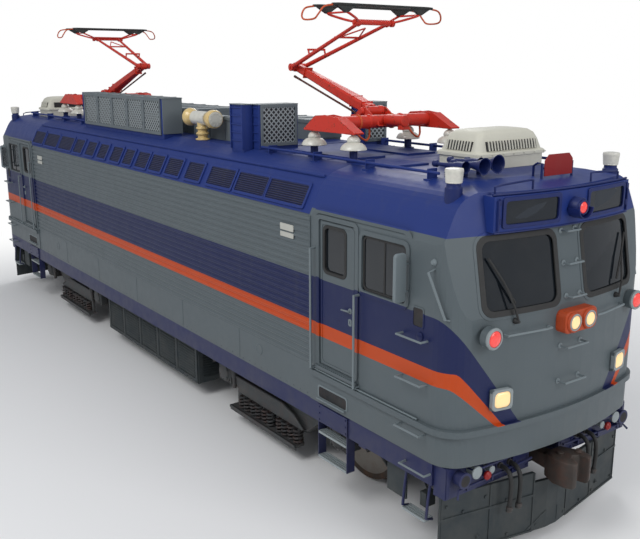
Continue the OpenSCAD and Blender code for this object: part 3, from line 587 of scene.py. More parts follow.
def make_hose(end, i, y):
    turned = HALF_TURN if end == "rear" else Matrix.Identity(4)
    route = [turned @ Vector((HOSE_X + p[0], y, HOSE_Z + p[2])) for p in HOSE_ROUTE]
    body = Kit().tube(route, HOSE_R, 12).done(f"{end}_hose_{i}", "hose_rubber", bevel=0)
    tip = Vector((HOSE_X + HOSE_ROUTE[-1][0], y, HOSE_Z + HOSE_ROUTE[-1][2]))
    m = along(tip, tip + Vector((-.0733, 0, -.9973)))
    kit = Kit().lathe([(.030, .0), (.033, .004), (.033, .03), (.027, .034), (.027, .045), (.034, .05),
                       (.034, .058), (.02, .06)], m, 16)
    kit.box((-.030, -.012, .014), (.034, .030, .044), m)
    cap = kit.done(f"{end}_gladhand_{i}", "cast_fittings", [turned], .003)
    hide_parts(f"{end}_hoses")
    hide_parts(f"{end}_hoses")
    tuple(route[0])


for end_name in ("front", "rear"):
    for hose_i, hose_y in enumerate(HOSE_Y):
        make_hose(end_name, hose_i + 1, hose_y)


# ---------------------------------------------------------------- nose
def make_windscreen_trim():
    seal = Kit()
    seal.rim(.180, 1.170, 2.677, 3.450, .057, .12, .085, on_nose, -.006, .012, 5, 6)
    seal.done("windscreen_seals", "black_plastic", CORNERS)
    lip = Kit()
    lip.ring(rounded(.150, 1.200, 2.647, 3.476, .14, 5, 6), rounded(.182, 1.168, 2.679, 3.448, .118, 5, 6),
             on_nose, -.004, .006)
    lip.done("windscreen_surrounds", "cab_paint", CORNERS, .002)


def make_wipers():
    kit = Kit()
    hub = on_nose(.794, 2.614)
    kit.lathe([(.030, 0), (.030, .02), (.022, .035), (.014, .06)], facing(hub, FORE), 16)
    arm = [on_nose(.794, 2.614, .05), on_nose(.84, 2.75, .06), on_nose(.93, 3.02, .035)]
    kit.tube(arm, .011)
    blade = [on_nose(1.06, 3.24, .02), on_nose(.93, 3.02, .028), on_nose(.80, 2.79, .02)]
    kit.tube(blade, .012, 6)
    obj = kit.done("wiper_arms", "black_plastic", CORNERS, 0)
    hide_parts("wipers")


def lamp_parts(at, r, depth, ring_mat, lens_mat, name, copies):
    """A round lamp: housing, polished ring and a domed lens."""
    x, y, z = at
    m = facing((x, y, z), FORE)
    shell = Kit().lathe([(r * 1.06, -depth), (r * 1.06, -.02), (r * 1.10, -.012), (r * 1.10, .004),
                         (r * .98, .016), (r * .84, .012), (r * .82, -.01)], m, 40)
    shell.bolts([((x + .004, y + r * math.cos(a), z + r * math.sin(a)), FORE)
                 for a in (0.5, 1.5, 2.6, 3.7, 4.7, 5.8)], .007, .005)
    shell.done(f"{name}_rings", ring_mat, copies, .002, slot="lamp_glass")
    dome = [(r * .82 * math.sin(t), .004 + r * .22 * math.cos(t)) for t in (1.57, 1.3, 1.0, .7, .4, .15, 0)]
    Kit().lathe([(r * .82, -.01)] + dome, m, 40).done(f"{name}_lenses", lens_mat, copies, 0,
                                                      slot="lamp_glass")


def make_lamps():
    lamp_parts((NOSE_X - .011, 1.125, 2.506), .098, .085, "lamp_ring", "lens_red", "marker_lamp", CORNERS)
    lamp_parts((NOSE_X + .132, .118, HEADLIGHT_Z), .084, .07, "lamp_ring", "lens_warm", "headlight",
               CORNERS)
    lamp_parts((HEADER_X + .105, 0, TOP_LAMP_Z), .070, .09, "header_blue", "lens_red", "top_lamp", ENDS)
    hood = Kit()
    pane = rounded(-.245, .245, 2.405, 2.633, .06, 5)
    hood.plate(pane, NOSE_X - .03, NOSE_X + .118, 0)
    for y in (-.118, .118):
        hood.lathe([(.108, 0), (.112, .02), (.10, .03)],
                   along((NOSE_X + .11, y, HEADLIGHT_Z), (NOSE_X + 1, y, HEADLIGHT_Z)), 32)
    hood.done("headlight_hood", "hood_orange", ENDS, .010, slot="lamp_glass")
    eyebrow = Kit()
    arc = [(.112 * math.cos(math.radians(a)), .112 * math.sin(math.radians(a))) for a in range(0, 181, 15)]
    inner = [(.101 * u / .112, .101 * v / .112) for u, v in reversed(arc)]
    m = along((HEADER_X, 0, TOP_LAMP_Z), (HEADER_X + 1, 0, TOP_LAMP_Z)) @ turn("Z", 90)
    eyebrow.plate(arc + inner, 0, .15, m=m)
    eyebrow.lathe([(.095, .0), (.095, .09), (.088, .10)], m, 32)
    eyebrow.done("top_lamp_hood", "header_blue", ENDS, .002, slot="blue_paint")
    # square lights at the nose's corners
    tilt = math.asin(.930 / BOW_R)
    m = move((NOSE_X - BOW_R, 0, 1.842)) @ Matrix.Rotation(tilt, 4, "Z") @ \
        move((BOW_R + .041, 0, 0)) @ turn("Y", 90) @ turn("Z", 90)
    box = Kit()
    outer, inner = rounded(-.122, .122, -.107, .107, .045, 5), rounded(-.095, .095, -.082, .082, .05, 5)
    box.ring(outer, inner, lambda u, v, h: m @ Vector((u, v, h)), -.03, .016)
    box.bolts([(m @ Vector((u, v, .014)), (math.cos(tilt), math.sin(tilt), 0)) for u in (-.104, .104)
               for v in (-.09, .09)], .008, .005)
    box.done("square_light_frames", "lamp_ring", CORNERS, .004, slot="lamp_glass")
    lens = Kit()
    steps = [(1, -.004), (1, .008), (.92, .018), (.70, .026), (.35, .030), (.05, .031)]
    lens.loops([[m @ Vector((u * k, v * k, h)) for u, v in rounded(-.094, .094, -.081, .081, .05, 5)]
                for k, h in steps])
    lens.done("square_light_lenses", "lens_warm", CORNERS, 0, slot="lamp_glass")


def make_header():
    frames = Kit()
    frames.ring(rounded(.205, .945, 3.515, 3.81, .03, 3, 5), rounded(.240, .910, 3.552, 3.773, .035, 3, 5),
                on_header, -.01, .016)
    for z in (3.56, 3.74):
        frames.lathe([(.012, 0), (.012, .06)],
                     along(on_header(.975, z, .012), on_header(.975, z + 1, .012)), 10)
    frames.box((HEADER_X - .14, .985, 3.50), (HEADER_X - .075, 1.005, 3.79))
    frames.done("number_board_frames", "header_blue", CORNERS, .004, slot="blue_paint")
    rim = Kit()
    loop = [on_header(y, 3.835, -.03) for y in [-1.03 + .103 * i for i in range(21)]]
    rim.tube(loop, .012, 8)
    rim.tube([on_header(y, 3.478, .004) for y in [-1.03 + .103 * i for i in range(21)]], .008, 8)
    for s in BOTH:
        top = [(7.30, .45 * s, 3.84), (7.30, .45 * s, 3.93), (7.33, .52 * s, 3.94), (7.30, .88 * s, 3.92),
               (7.27, .95 * s, 3.90), (7.27, .95 * s, 3.82)]
        rim.tube(top, .011, 8)
    rim.done("header_rails", "header_blue", ENDS, 0, slot="blue_paint")
    panes = Kit()
    panes.sheet(rounded(.246, .904, 3.556, 3.769, .03, 3, 5), on_header, -.012, -.006)
    panes.done("number_board_glass", "board_glass", CORNERS, 0, slot="board_dark")


def make_nose_rails():
    kit = Kit()
    for z, half in ((3.41, .10), (3.09, .11), (2.76, .11)):
        a, b = on_nose(half, z, .0), on_nose(half, z, .085)
        kit.tube([on_nose(-half, z, 0), on_nose(-half, z, .085), b, a], .011)
    for s in BOTH:
        kit.tube([(7.07, 1.44 * s, 3.16), (7.07, 1.58 * s, 3.13), (7.23, 1.50 * s, 2.69),
                  (7.23, 1.39 * s, 2.66)], .013)
        kit.lathe([(.010, 0), (.028, .02), (.034, .045), (.020, .07)], along((7.06, 1.455 * s, 3.21),
                                                                           (7.06, 2 * s, 3.26)), 14)
    for z in (1.868, 2.248, 3.41, 3.09, 2.76):
        for s in BOTH:
            half = .16 if z < 2.5 else .105
            kit.lathe([(.030, 0), (.030, .006), (.016, .012)],
                      along(on_nose(half * s, z), on_nose(half * s, z, 1)), 14)
    kit.done("nose_irons", "grey_steel", ENDS, 0)


# ---------------------------------------------------------------- cab sides
def make_door_skins():
    for end, left, m in (("front", "left", ONE[0]), ("front", "right", FLIP_Y),
                         ("rear", "right", HALF_TURN), ("rear", "left", HALF_TURN @ FLIP_Y)):
        door = f"{end}_{left}_door"
        y = -.006

        def face(u, v, h):
            return on_side(u, v, y + h)
        trim = Kit()
        trim.rim(5.234, 5.846, 1.676, 3.336, .028, .06, .05, face, -.004, .006, 4)
        trim.done(f"{door}_edge", "cab_paint", [m], .002, body=door)
        seal = Kit().rim(5.277, 5.708, 2.747, 3.303, .035, .075, .055, face, -.045, .008, 5)
        seal.done(f"{door}_window_seal", "black_plastic", [m], .003, body=door)
        pane = Kit().sheet(rounded(5.303, 5.682, 2.773, 3.277, .05, 5), face, -.030, -.020)
        pane.done(f"{door}_pane", "window_glass", [m], 0, body=door)
        handle = Kit().lathe([(.032, 0), (.032, .006), (.016, .012), (.014, .034)],
                             along(face(5.775, 2.42, 0), face(5.775, 2.42, 1)), 16)
        handle.tube([face(5.775, 2.42, .032), face(5.73, 2.42, .036), face(5.655, 2.415, .034)], .010)
        handle.ring(rounded(5.745, 5.805, 2.25, 2.33, .02, 3), rounded(5.768, 5.782, 2.27, 2.31, .006, 3),
                    face, -.002, .006)
        handle.done(f"{door}_handle", "grey_steel", [m], .001, body=door)


def make_side_trim():
    borders = Kit()
    borders.ring(rounded(5.075, 6.755, 1.615, 3.470, .12, 5), rounded(5.130, 6.70, 1.655, 3.415, .09, 5),
                   on_side, -.002, -.0005)
    # raised surround of the door opening and of the side window
    borders.ring(rounded(5.155, 5.925, 1.628, 3.405, .085, 5), rounded(5.215, 5.865, 1.652, 3.357, .03, 5),
                   on_side, -.004, .012)
    borders.ring(rounded(5.935, 6.725, 2.655, 3.352, .09, 5), rounded(5.982, 6.673, 2.707, 3.303, .05, 5),
                   on_side, -.004, .014)
    borders.box((5.16, SKIN_Y - .002, 1.600), (5.92, SKIN_Y + .030, 1.640))
    borders.done("cab_side_frames", "cab_paint", CORNERS, .003)
    glass = Kit()
    glass.box((6.318, SKIN_Y - .034, 2.715), (6.342, SKIN_Y - .008, 3.295))
    glass.rim(5.987, 6.668, 2.712, 3.298, .025, .06, .045, on_side, -.04, -.004, 5)
    glass.done("side_window_seals", "black_plastic", CORNERS, .002)
    gutter = Kit()
    gutter.tube([(5.06, SKIN_Y - .004, 1.62), (5.04, SKIN_Y + .006, 1.7), (5.04, SKIN_Y + .006, 3.36)],
                .009)
    gutter.bolts([(on_side(5.07, 1.70 + .11 * i, -.002), (0, 1, 0)) for i in range(15)], .009, .004)
    gutter.done("cab_seam", "cab_paint", CORNERS, 0)
    belt = Kit()
    belt.tube([(5.07, SKIN_Y + .012, 1.575), (5.6, SKIN_Y + .02, 1.575), (6.9, SKIN_Y + .020, 1.575)], .010)
    belt.done("belt_rail", "grey_steel", CORNERS, 0)
    # foot recess over the ladder, and the tread at its lower edge
    recess = Kit().rim(5.18, 5.74, 1.225, 1.395, .02, .035, .03, on_side, -.002, .005, 4)
    recess.box((5.20, SKIN_Y - .004, 1.225), (5.72, SKIN_Y + .040, 1.243))
    recess.done("foot_recess_frames", "grey_steel", CORNERS, .002)
    # near-black sheets inside the foot recess and the filler recess: painted shade
    dark = Kit().sheet(rounded(5.20, 5.72, 1.245, 1.375, .03, 4), on_side, -.002, .0015)
    dark.sheet(rounded(6.79, 6.93, 2.53, 2.72, .02, 4), on_side, -.002, .0015)
    dark.done("recess_painted_shade", "dark_hollow", CORNERS, 0, slot="dark_paint")
    filler = Kit().rim(6.775, 6.945, 2.515, 2.735, .017, .03, .02, on_side, -.003, .007, 4)
    filler.lathe([(.045, 0), (.045, .012), (.032, .018)],
                 along(on_side(6.894, 2.440), on_side(6.894, 2.440, 1)), 20)
    filler.done("filler_frames", "cab_paint", CORNERS, .002)
    plate = Kit().sheet(rounded(4.42, 4.70, 3.115, 3.195, .01, 2), on_side, -.002, .006)
    plate.sheet(rounded(4.42, 4.70, 3.035, 3.095, .01, 2), on_side, -.002, .006)
    plate.done("side_plaques", "plaque", CORNERS, .002, slot="lantern_white")
    seams = Kit()
    for x in (-3.35, -1.68, 0, 1.68, 3.35):
        seams.box((x - .010, SKIN_Y - .014, 1.19), (x + .010, SKIN_Y - .0085, 1.595))
    seams.bolts([(on_side(-4.95 + .15 * i, 1.205, -.012), (0, 1, 0)) for i in range(67)], .008, .004)
    seams.done("side_seams", "grey_side_paint", SIDES, .002)
    collar = Kit()
    for x in (-3.86, 3.86):
        collar.lathe([(.060, -.03), (.078, -.03), (.078, .002), (.070, .006), (.060, .004)],
                     along(on_side(x, 1.44, -.012), on_side(x, 1.44, 1)), 32)
    collar.done("lifting_collars", "grey_side_paint", SIDES, .002)


def make_mirrors():
    kit = Kit()
    pane = rounded(1.545, 1.690, 2.76, 3.25, .035, 4)
    x0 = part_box("mirrors")[1][0] - .03
    kit.loops([[(x0 - .02, (y - 1.617) * .8 + 1.617, (z - 3.0) * .92 + 3.0) for y, z in pane],
               [(x0 - .005, y, z) for y, z in pane], [(x0 + .022, y, z) for y, z in pane],
               [(x0 + .03, (y - 1.617) * .93 + 1.617, (z - 3.0) * .97 + 3.0) for y, z in pane]])
    for z in (2.86, 3.14):
        kit.tube([(x0 + .01, SKIN_Y - .002, z), (x0 + .01, 1.56, z)], .012)
    obj = kit.done("mirror_bodies", "grey_steel", CORNERS, .004)
    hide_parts("mirrors")
    glass = Kit().loops([[(x0 - .0215, (y - 1.617) * .68 + 1.617, (z - 3.0) * .84 + 3.0) for y, z in pane],
                         [(x0 - .019, (y - 1.617) * .68 + 1.617, (z - 3.0) * .84 + 3.0) for y, z in pane]])
    glass.done("mirror_glass", "chrome", CORNERS, 0, slot="black_plastic")


# ---------------------------------------------------------------- roof
LOUVRES_WIDE = [(-5.00, -4.40), (-4.28, -3.56), (-3.45, -2.76), (2.55, 3.20), (3.30, 4.00), (4.05, 4.85)]
LOUVRES_NARROW = [(-2.63, -2.22), (-2.02, -1.63), (-1.45, -1.08), (-.87, -.48), (-.34, .0), (.16, .57),
                  (.68, 1.10), (1.24, 1.70), (1.89, 2.34)]


def make_louvres():
    rims, slats, hollows = Kit(), Kit(), Kit()
    for x0, x1 in LOUVRES_WIDE + LOUVRES_NARROW:
        rims.ring(rounded(x0 - .035, x1 + .035, 3.408, 3.692, .03, 3),
                  rounded(x0, x1, 3.440, 3.660, .02, 3), on_slope, -.004, .022)
        # a near-black sheet behind the slats: painted shade of the louvre's hollow
        hollows.sheet(rounded(x0 - .005, x1 + .005, 3.435, 3.665, .02, 3), on_slope, -.003, .002)
        for i in range(9):
            z = 3.446 + .0245 * i
            slats.loops([[on_slope(x, z, .003), on_slope(x, z + .006, .003), on_slope(x, z + .016, .018),
                          on_slope(x, z + .012, .018)] for x in (x0, x1)])
    rims.done("louvre_frames", "roof_paint", SIDES, .003)
    slats.done("louvre_slats", "louvre_blue", SIDES, 0, slot="roof_paint")
    hollows.done("louvre_painted_shade", "dark_hollow", SIDES, 0, slot="roof_paint")


def make_roof_trim():
    kit = Kit()
    for s in BOTH:
        kit.tube([(-4.95, 1.262 * s, 3.785), (5.0, 1.262 * s, 3.785)], .022, 6)
    for i in range(12):
        x = -4.6 + i * .83
        kit.box((x - .008, -.89, 3.8995), (x + .008, .89, 3.906))
    for x0, x1, y0, y1 in ((3.45, 4.75, .20, .68), (-4.75, -3.45, .20, .68), (-4.75, -3.45, -.66, -.16),
                           (3.45, 4.75, -.66, -.16), (5.00, 5.62, -.82, -.25), (-5.62, -5.0, .25, .82)):
        kit.box((x0, y0, 3.899), (x1, y1, 3.925))
    kit.done("roof_seams", "roof_paint", ONE, .004)
    pipe = Kit()
    for s in BOTH:
        pipe.tube([(-6.55, .98 * s, 3.955), (-3.2, 1.00 * s, 3.955)], .017)
        pipe.tube([(3.2, .98 * s, 3.955), (6.55, .98 * s, 3.955)], .017)
        for x in (-6.4, -5.4, -4.4, -3.4, 3.4, 4.4, 5.4, 6.4):
            pipe.box((x - .008, .95 * s - .05, 3.862), (x + .008, .95 * s + .08, 3.990))
            pipe.box((x - .05, .95 * s - .06, 3.868), (x + .05, .95 * s + .09, 3.884))
    pipe.done("roof_pipes", "roof_paint", ONE, .003)


def make_cages():
    boxes = ((2.55, 2.87, -1.06, -.93), (2.79, 3.05, -.90, -.32), (3.0, 3.3, .68, 1.06))
    z0, z1 = 3.94, 4.49
    wire, frames, blue = Kit(), Kit(), Kit()

    def end_panel(x, y0, y1, facing=1):
        """A mesh panel that faces along X."""
        def place(u, v, h):
            return Vector((x + facing * h, u, v))
        frames.ring(rounded(y0, y1, z0, z1, .004, 2),
                    rounded(y0 + .035, y1 - .035, z0 + .045, z1 - .04, .004, 2), place, -.002, .020)
        wire.sheet(rounded(y0 + .03, y1 - .03, z0 + .04, z1 - .035, .004, 2), place, .0, .006)
    for x0, x1, y0, y1 in boxes:
        if y1 - y0 > .2:
            end_panel(x1, y0, y1)
            end_panel(x0, y0, y1, -1)
        for i in range(5):
            z = z0 + .06 + i * .11
            blue.box((x0 + .02, y0 - .012, z), (x1 - .02, y0 + .002, z + .018))
            blue.box((x0 + .02, y1 - .002, z), (x1 - .02, y1 + .012, z + .018))
        for x in (x0, x1 - .02):
            blue.box((x, y0 - .02, z0 - .04), (x + .02, y0 + .002, z1))
            blue.box((x, y1 - .002, z0 - .04), (x + .02, y1 + .02, z1))
        frames.box((x0 - .01, y0 - .02, z1 - .004), (x1 + .01, y1 + .02, z1 + .008))
    # the long bank: five screened bays along each side
    x0, x1, y0, y1 = -3.0, .43, -1.06, -.76
    for side_y, facing in ((y0, -1), (y1, 1)):
        for i in range(5):
            a, b = x0 + .04 + i * .66, x0 + .04 + (i + 1) * .66

            def place(u, v, h, side_y=side_y, facing=facing):
                return Vector((u, side_y + facing * h, v))
            frames.ring(rounded(a, b, z0 - .02, z1, .004, 2),
                        rounded(a + .05, b - .05, z0 + .03, z1 - .045, .004, 2), place, -.002, .022)
            wire.sheet(rounded(a + .045, b - .045, z0 + .025, z1 - .04, .004, 2), place, .0, .006)
            frames.box((b - .03, side_y + facing * .022 - .008, z0 + .10),
                       (b - .01, side_y + facing * .022 + .008, z0 + .16))
            frames.box((b - .03, side_y + facing * .022 - .008, z1 - .16),
                       (b - .01, side_y + facing * .022 + .008, z1 - .10))
    frames.box((x0 - .01, y0 - .025, z1 - .004), (x1 + .02, y1 + .025, z1 + .010))
    frames.box((x1 - .002, y0 - .02, z0), (x1 + .012, y1 + .02, z1))
    for i in range(7):
        frames.box((x0 + .25 + i * .5, y0 - .02, z1 + .008), (x0 + .262 + i * .5, y1 + .02, z1 + .018))
    blue.box((x0 - .022, y0 - .02, 3.90), (x0, y1 + .02, z1 + .012))
    wire.done("cage_wire", "wire_screen", ONE, 0, slot="roof_paint")
    frames.done("cage_frames", "duct_grey", ONE, .003)
    blue.done("cage_blue_parts", "roof_paint", ONE, .003)
    ribs = Kit()
    for x0, x1, y0, y1, z in ((.6, 2.5, -.6, -.42, 4.25), (-2.4, .43, -.42, .42, 4.30),
                              (.9, 2.3, .45, 1.0, 4.20)):
        n = int((x1 - x0) / .45)
        for i in range(n + 1):
            x = x0 + (x1 - x0) * i / n
            ribs.box((x - .012, y0 - .014, 3.92), (x + .012, y1 + .014, z + .014))
        ribs.box((x0 - .014, y0 - .014, z - .05), (x1 + .014, y1 + .014, z + .004))
    ribs.done("duct_flanges", "duct_grey", ONE, .003)


def make_breaker():
    kit = Kit()
    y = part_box("circuit_breaker")[0][1] + .12
    m = along((.82, y, 4.225), (1.9, y, 4.225))
    kit.lathe([(.06, 0), (.125, 0), (.135, .02), (.135, .075), (.118, .10), (.085, .13), (.085, .22)], m,
              40)
    kit.lathe([(.085, .60), (.085, .66), (.118, .70), (.135, .735), (.135, .81), (.125, .828), (.05, .83)],
              m, 40)
    post = Kit().lathe([(.11, 0), (.11, .02), (.075, .03), (.075, .07), (.10, .085), (.10, .105),
                        (.075, .12), (.075, .15), (.10, .165), (.10, .185), (.078, .20), (.085, .30)],
                       along((1.24, y, 3.9005), (1.24, y, 5)), 32)
    kit.done("breaker_ends", "tan_ceramic", ONE, .004)
    post.done("breaker_post", "tan_ceramic", ONE, .004)
    drum = Kit().lathe([(.102, .2), (.102, .62)], m, 40)
    drum.lathe([(.112, .826), (.112, .842), (.02, .845)], m, 40)
    drum.bolts([((1.662, y + .085 * math.cos(a), 4.225 + .085 * math.sin(a)), FORE)
                for a in [math.pi * i / 5 for i in range(10)]], .010, .008)
    obj = drum.done("breaker_drum", "insulator_ceramic", ONE, .002)
    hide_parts("circuit_breaker")


def make_air_conditioner():
    cx, cy = 6.025, .33

    def outline(half_x, half_y, r, z):
        return [(cx + u, cy + v, z) for u, v in rounded(-half_x, half_x, -half_y, half_y, r, 5)]
    kit = Kit()
    kit.loops([outline(.318, .535, .06, 3.901), outline(.318, .535, .06, 4.035)])
    kit.loops([outline(.335, .56, .07, 4.035), outline(.335, .56, .07, 4.070),
               outline(.318, .545, .07, 4.085)])
    kit.loops([outline(.305, .53, .07, 4.08), outline(.275, .49, .07, 4.20), outline(.25, .455, .08, 4.27),
               outline(.215, .40, .09, 4.305), outline(.15, .32, .09, 4.317)])
    kit.bolts([((cx + .345 * s, cy + .17 * k, 4.058), (s, 0, 0)) for s in BOTH for k in range(-3, 4)], .010,
              .006)
    obj = kit.done("air_conditioner_shells", "beige_paint", ENDS, .006, 50)
    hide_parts("air_conditioners")
    # near-black boxes behind the vent slats on every face: painted shade
    dark, slats = Kit(), Kit()
    lean = math.atan2(.03, .12)
    width, count = .40, 17
    for facing in BOTH:
        m = move((cx + facing * .290, cy, 4.145)) @ turn("Y", -facing * math.degrees(lean))
        dark.box((-.012, -width, -.05), (.012, width, .055), m)
        for i in range(count):
            y = -width + .03 + i * (2 * width - .06) / (count - 1)
            slats.box((-.008, y - .009, -.05), (.022, y + .009, .055), m)
    width, count = .19, 9
    for facing in BOTH:
        m = move((cx, cy + facing * .507, 4.145)) @ turn("X", facing * math.degrees(lean))
        dark.box((-width, -.014, -.05), (width, .012, .055), m)
        for i in range(count):
            x = -width + .02 + i * (2 * width - .04) / (count - 1)
            slats.box((x - .009, -.022, -.05), (x + .009, .022, .055), m)
    dark.done("air_conditioner_painted_shade", "dark_hollow", ENDS, 0, slot="beige_paint")
    slats.done("air_conditioner_slats", "beige_paint", ENDS, 0)


def make_horns():
    kit = Kit()
    for y, z, x0, r in ((-.40, 4.03, 6.34, .095), (-.66, 4.03, 6.40, .085), (-.53, 4.035, 6.22, .06),
                        (-.80, 4.02, 6.28, .06)):
        m = along((x0, y, z), (x0 + 1, y, z))
        kit.lathe([(.030, 0), (.036, .01), (.036, .05), (.020, .06), (.022, .16), (.030, .26), (.048, .36),
                   (r * .8, .42), (r, .455), (r * 1.03, .462), (r * .92, .458), (r * .68, .41), (.035, .34),
                   (.01, .25)], m, 28)
        kit.box((x0 + .18, y - .02, 3.90), (x0 + .215, y + .02, z - .01))
    kit.tube([(6.36, -.40, 4.03), (6.34, -.5, 3.96), (6.36, -.66, 4.03)], .012)
    obj = kit.done("horn_trumpets", "header_blue", ENDS, 0, slot="horn_steel")
    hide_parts("horns")


def make_lanterns():
    x, y = 6.99, 1.21
    foot = Kit().lathe([(.085, 3.70), (.085, 3.885), (.070, 3.90), (.070, 3.93), (.080, 3.935)],
                       move((x, y, 0)), 28)
    foot.done("lantern_feet", "header_blue", CORNERS, .003, slot="blue_paint")
    ribs = [(.078, 3.93), (.083, 3.938)]
    for i in range(5):
        ribs += [(.080 + .002 * i, 3.945 + .021 * i), (.084 + .002 * i, 3.955 + .021 * i)]
    glass = Kit().lathe(ribs + [(.090, 4.055), (.086, 4.067), (.05, 4.0725), (.0, 4.073)], move((x, y, 0)),
                        32)
    obj = glass.done("lantern_glasses", "lantern_white", CORNERS, .002)
    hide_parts("roof_lanterns")


def make_roof_sign():
    cut = .06
    y0, y1, z0, z1 = .02, .46, 3.90, 4.12
    outline = [(y0, z0), (y1, z0), (y1, z1 - cut), (y1 - cut, z1), (y0 + cut, z1), (y0, z1 - cut)]
    kit = Kit().plate(outline, 7.04, 7.052, 0)
    kit.done("roof_sign", "sign_red", ENDS, .002, slot="pantograph_red")
    posts = Kit()
    for y in (.0, .48):
        posts.tube([(6.92, y, 3.84), (6.92, y, 4.0), (6.97, y, 4.03), (7.03, y, 4.03), (7.03, y, 3.84)],
                   .013)
    posts.box((7.026, -.01, 3.97), (7.038, .49, 3.99))
    posts.done("roof_sign_posts", "header_blue", ENDS, 0, slot="blue_paint")


for make in (make_windscreen_trim, make_wipers, make_lamps, make_header, make_nose_rails, make_door_skins,
             make_side_trim, make_mirrors, make_louvres, make_roof_trim, make_cages, make_breaker,
             make_air_conditioner, make_horns, make_lanterns, make_roof_sign):
    make()


# ---------------------------------------------------------------- pantographs
PANTO_X, PANTO_Z = 4.300, 4.440
ARM_LEN, ARM_ANGLE = 1.763, math.radians(17.6)
KNEE = (PANTO_X - ARM_LEN * math.cos(ARM_ANGLE), PANTO_Z + ARM_LEN * math.sin(ARM_ANGLE))
APEX_Z = PANTO_Z + 2 * ARM_LEN * math.sin(ARM_ANGLE)
INS_X, INS_Y = (4.107, 4.897), .775


def turned(end):
    return [ONE[0]] if end == "front" else [HALF_TURN]


def make_insulators():
    bells, feet = Kit(), Kit()
    for x in INS_X:
        m = move((x, INS_Y, 0))
        feet.lathe([(.085, 3.9003), (.085, 3.925), (.048, 3.935), (.048, 4.06), (.06, 4.07)], m, 24)
        bells.lathe([(.055, 4.035), (.150, 4.040), (.158, 4.046), (.155, 4.062), (.135, 4.095),
                     (.105, 4.118), (.072, 4.130), (.078, 4.138), (.080, 4.150), (.070, 4.175),
                     (.052, 4.195), (.030, 4.206), (.022, 4.2197)], m, 36)
    feet.done("insulator_feet", "header_blue", CORNERS, .003, slot="blue_paint")
    obj = bells.done("insulator_bells", "insulator_ceramic", CORNERS, 0, 50)
    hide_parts("roof_insulators")


def make_base():
    kit = Kit()
    for s in BOTH:
        outline = [(3.985, 4.222), (4.99, 4.222), (5.00, 4.240), (4.64, 4.405), (4.42, 4.425), (4.22, 4.40),
                   (3.975, 4.240)]
        for y in (.700, .835):
            kit.plate(outline, s * y, s * (y + .012), 1)
        for (ax, az), (bx, bz) in (((3.98, 4.228), (4.22, 4.398)), ((4.64, 4.402), (4.99, 4.230))):
            strip = [(ax, az), (bx, bz), (bx, bz + .012), (ax, az + .012)]
            kit.plate(strip, s * .700, s * .847, 1)
        for x in INS_X:
            kit.box((x - .07, s * .700, 4.2205), (x + .07, s * .847, 4.234))
            kit.lathe([(.028, 0), (.028, .02), (.016, .025), (.016, .045)], move((x, s * .775, 4.234)), 6)
        # cheeks that carry the main pivot, and the rod's pin
        cheek = [(4.02, 4.28), (4.62, 4.28), (4.60, 4.33), (4.36, 4.49), (4.25, 4.49), (4.16, 4.40),
                 (4.06, 4.39)]
        kit.plate(cheek, s * .150, s * .172, 1)
        kit.lathe([(.05, 0), (.05, .012), (.036, .02), (.036, .034)],
                  along((4.3, s * .172, 4.44), (4.3, s, 4.44)), 20)
    across = along((4.52, -.775, 4.325), (4.52, .775, 4.325))
    kit.lathe([(.080, 0), (.080, .50), (.092, .505), (.092, .53), (.080, .535), (.080, 1.02), (.092, 1.025),
               (.092, 1.05), (.080, 1.055), (.080, 1.55)], across, 32)
    kit.rod((4.3, -.18, 4.44), (4.3, .18, 4.44), .026, 24)
    kit.rod((4.1, -.152, 4.35), (4.1, .152, 4.35), .012, 16)
    kit.box((4.02, -.16, 4.272), (4.62, .16, 4.286))
    kit.lathe([(.03, 0), (.066, .005), (.070, .02), (.070, .33), (.066, .345), (.03, .35)],
              along((4.60, -.02, 4.345), (4.94, -.02, 4.345)), 28)
    kit.box((4.86, -.07, 4.24), (4.93, .06, 4.30))
    obj = kit.done("pantograph_base_frames", "pantograph_red", ENDS, .004)
    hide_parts("pantograph_bases")
    leads = Kit()
    for y0, y1 in ((-.55, -.22), (.30, .62)):
        pts = [(4.60, y0, 4.30), (4.66, y0 + .04, 4.18), (4.64, (y0 + y1) / 2, 4.115),
               (4.55, y1 - .04, 4.15), (4.50, y1, 4.24)]
        leads.tube(smooth_path(pts), .013)
    for y in (-.42, .12):
        leads.lathe([(.088, -.012), (.094, -.008), (.094, .008), (.088, .012)],
                    along((4.52, y, 4.325), (4.52, y + 1, 4.325)), 32)
    leads.done("pantograph_leads", "lead_orange", ENDS, 0, slot="pantograph_red")


def smooth_path(points, steps=6):
    """A Catmull-Rom curve through the points."""
    pts = [Vector(p) for p in points]
    pts = [pts[0] * 2 - pts[1]] + pts + [pts[-1] * 2 - pts[-2]]
    out = []
    for a, b, c, d in zip(pts, pts[1:], pts[2:], pts[3:]):
        for k in range(steps):
            t = k / steps
            out.append(.5 * (2 * b + (c - a) * t + (2 * a - 5 * b + 4 * c - d) * t * t
                             + (3 * b - a - 3 * c + d) * t ** 3))
    return out + [pts[-2]]


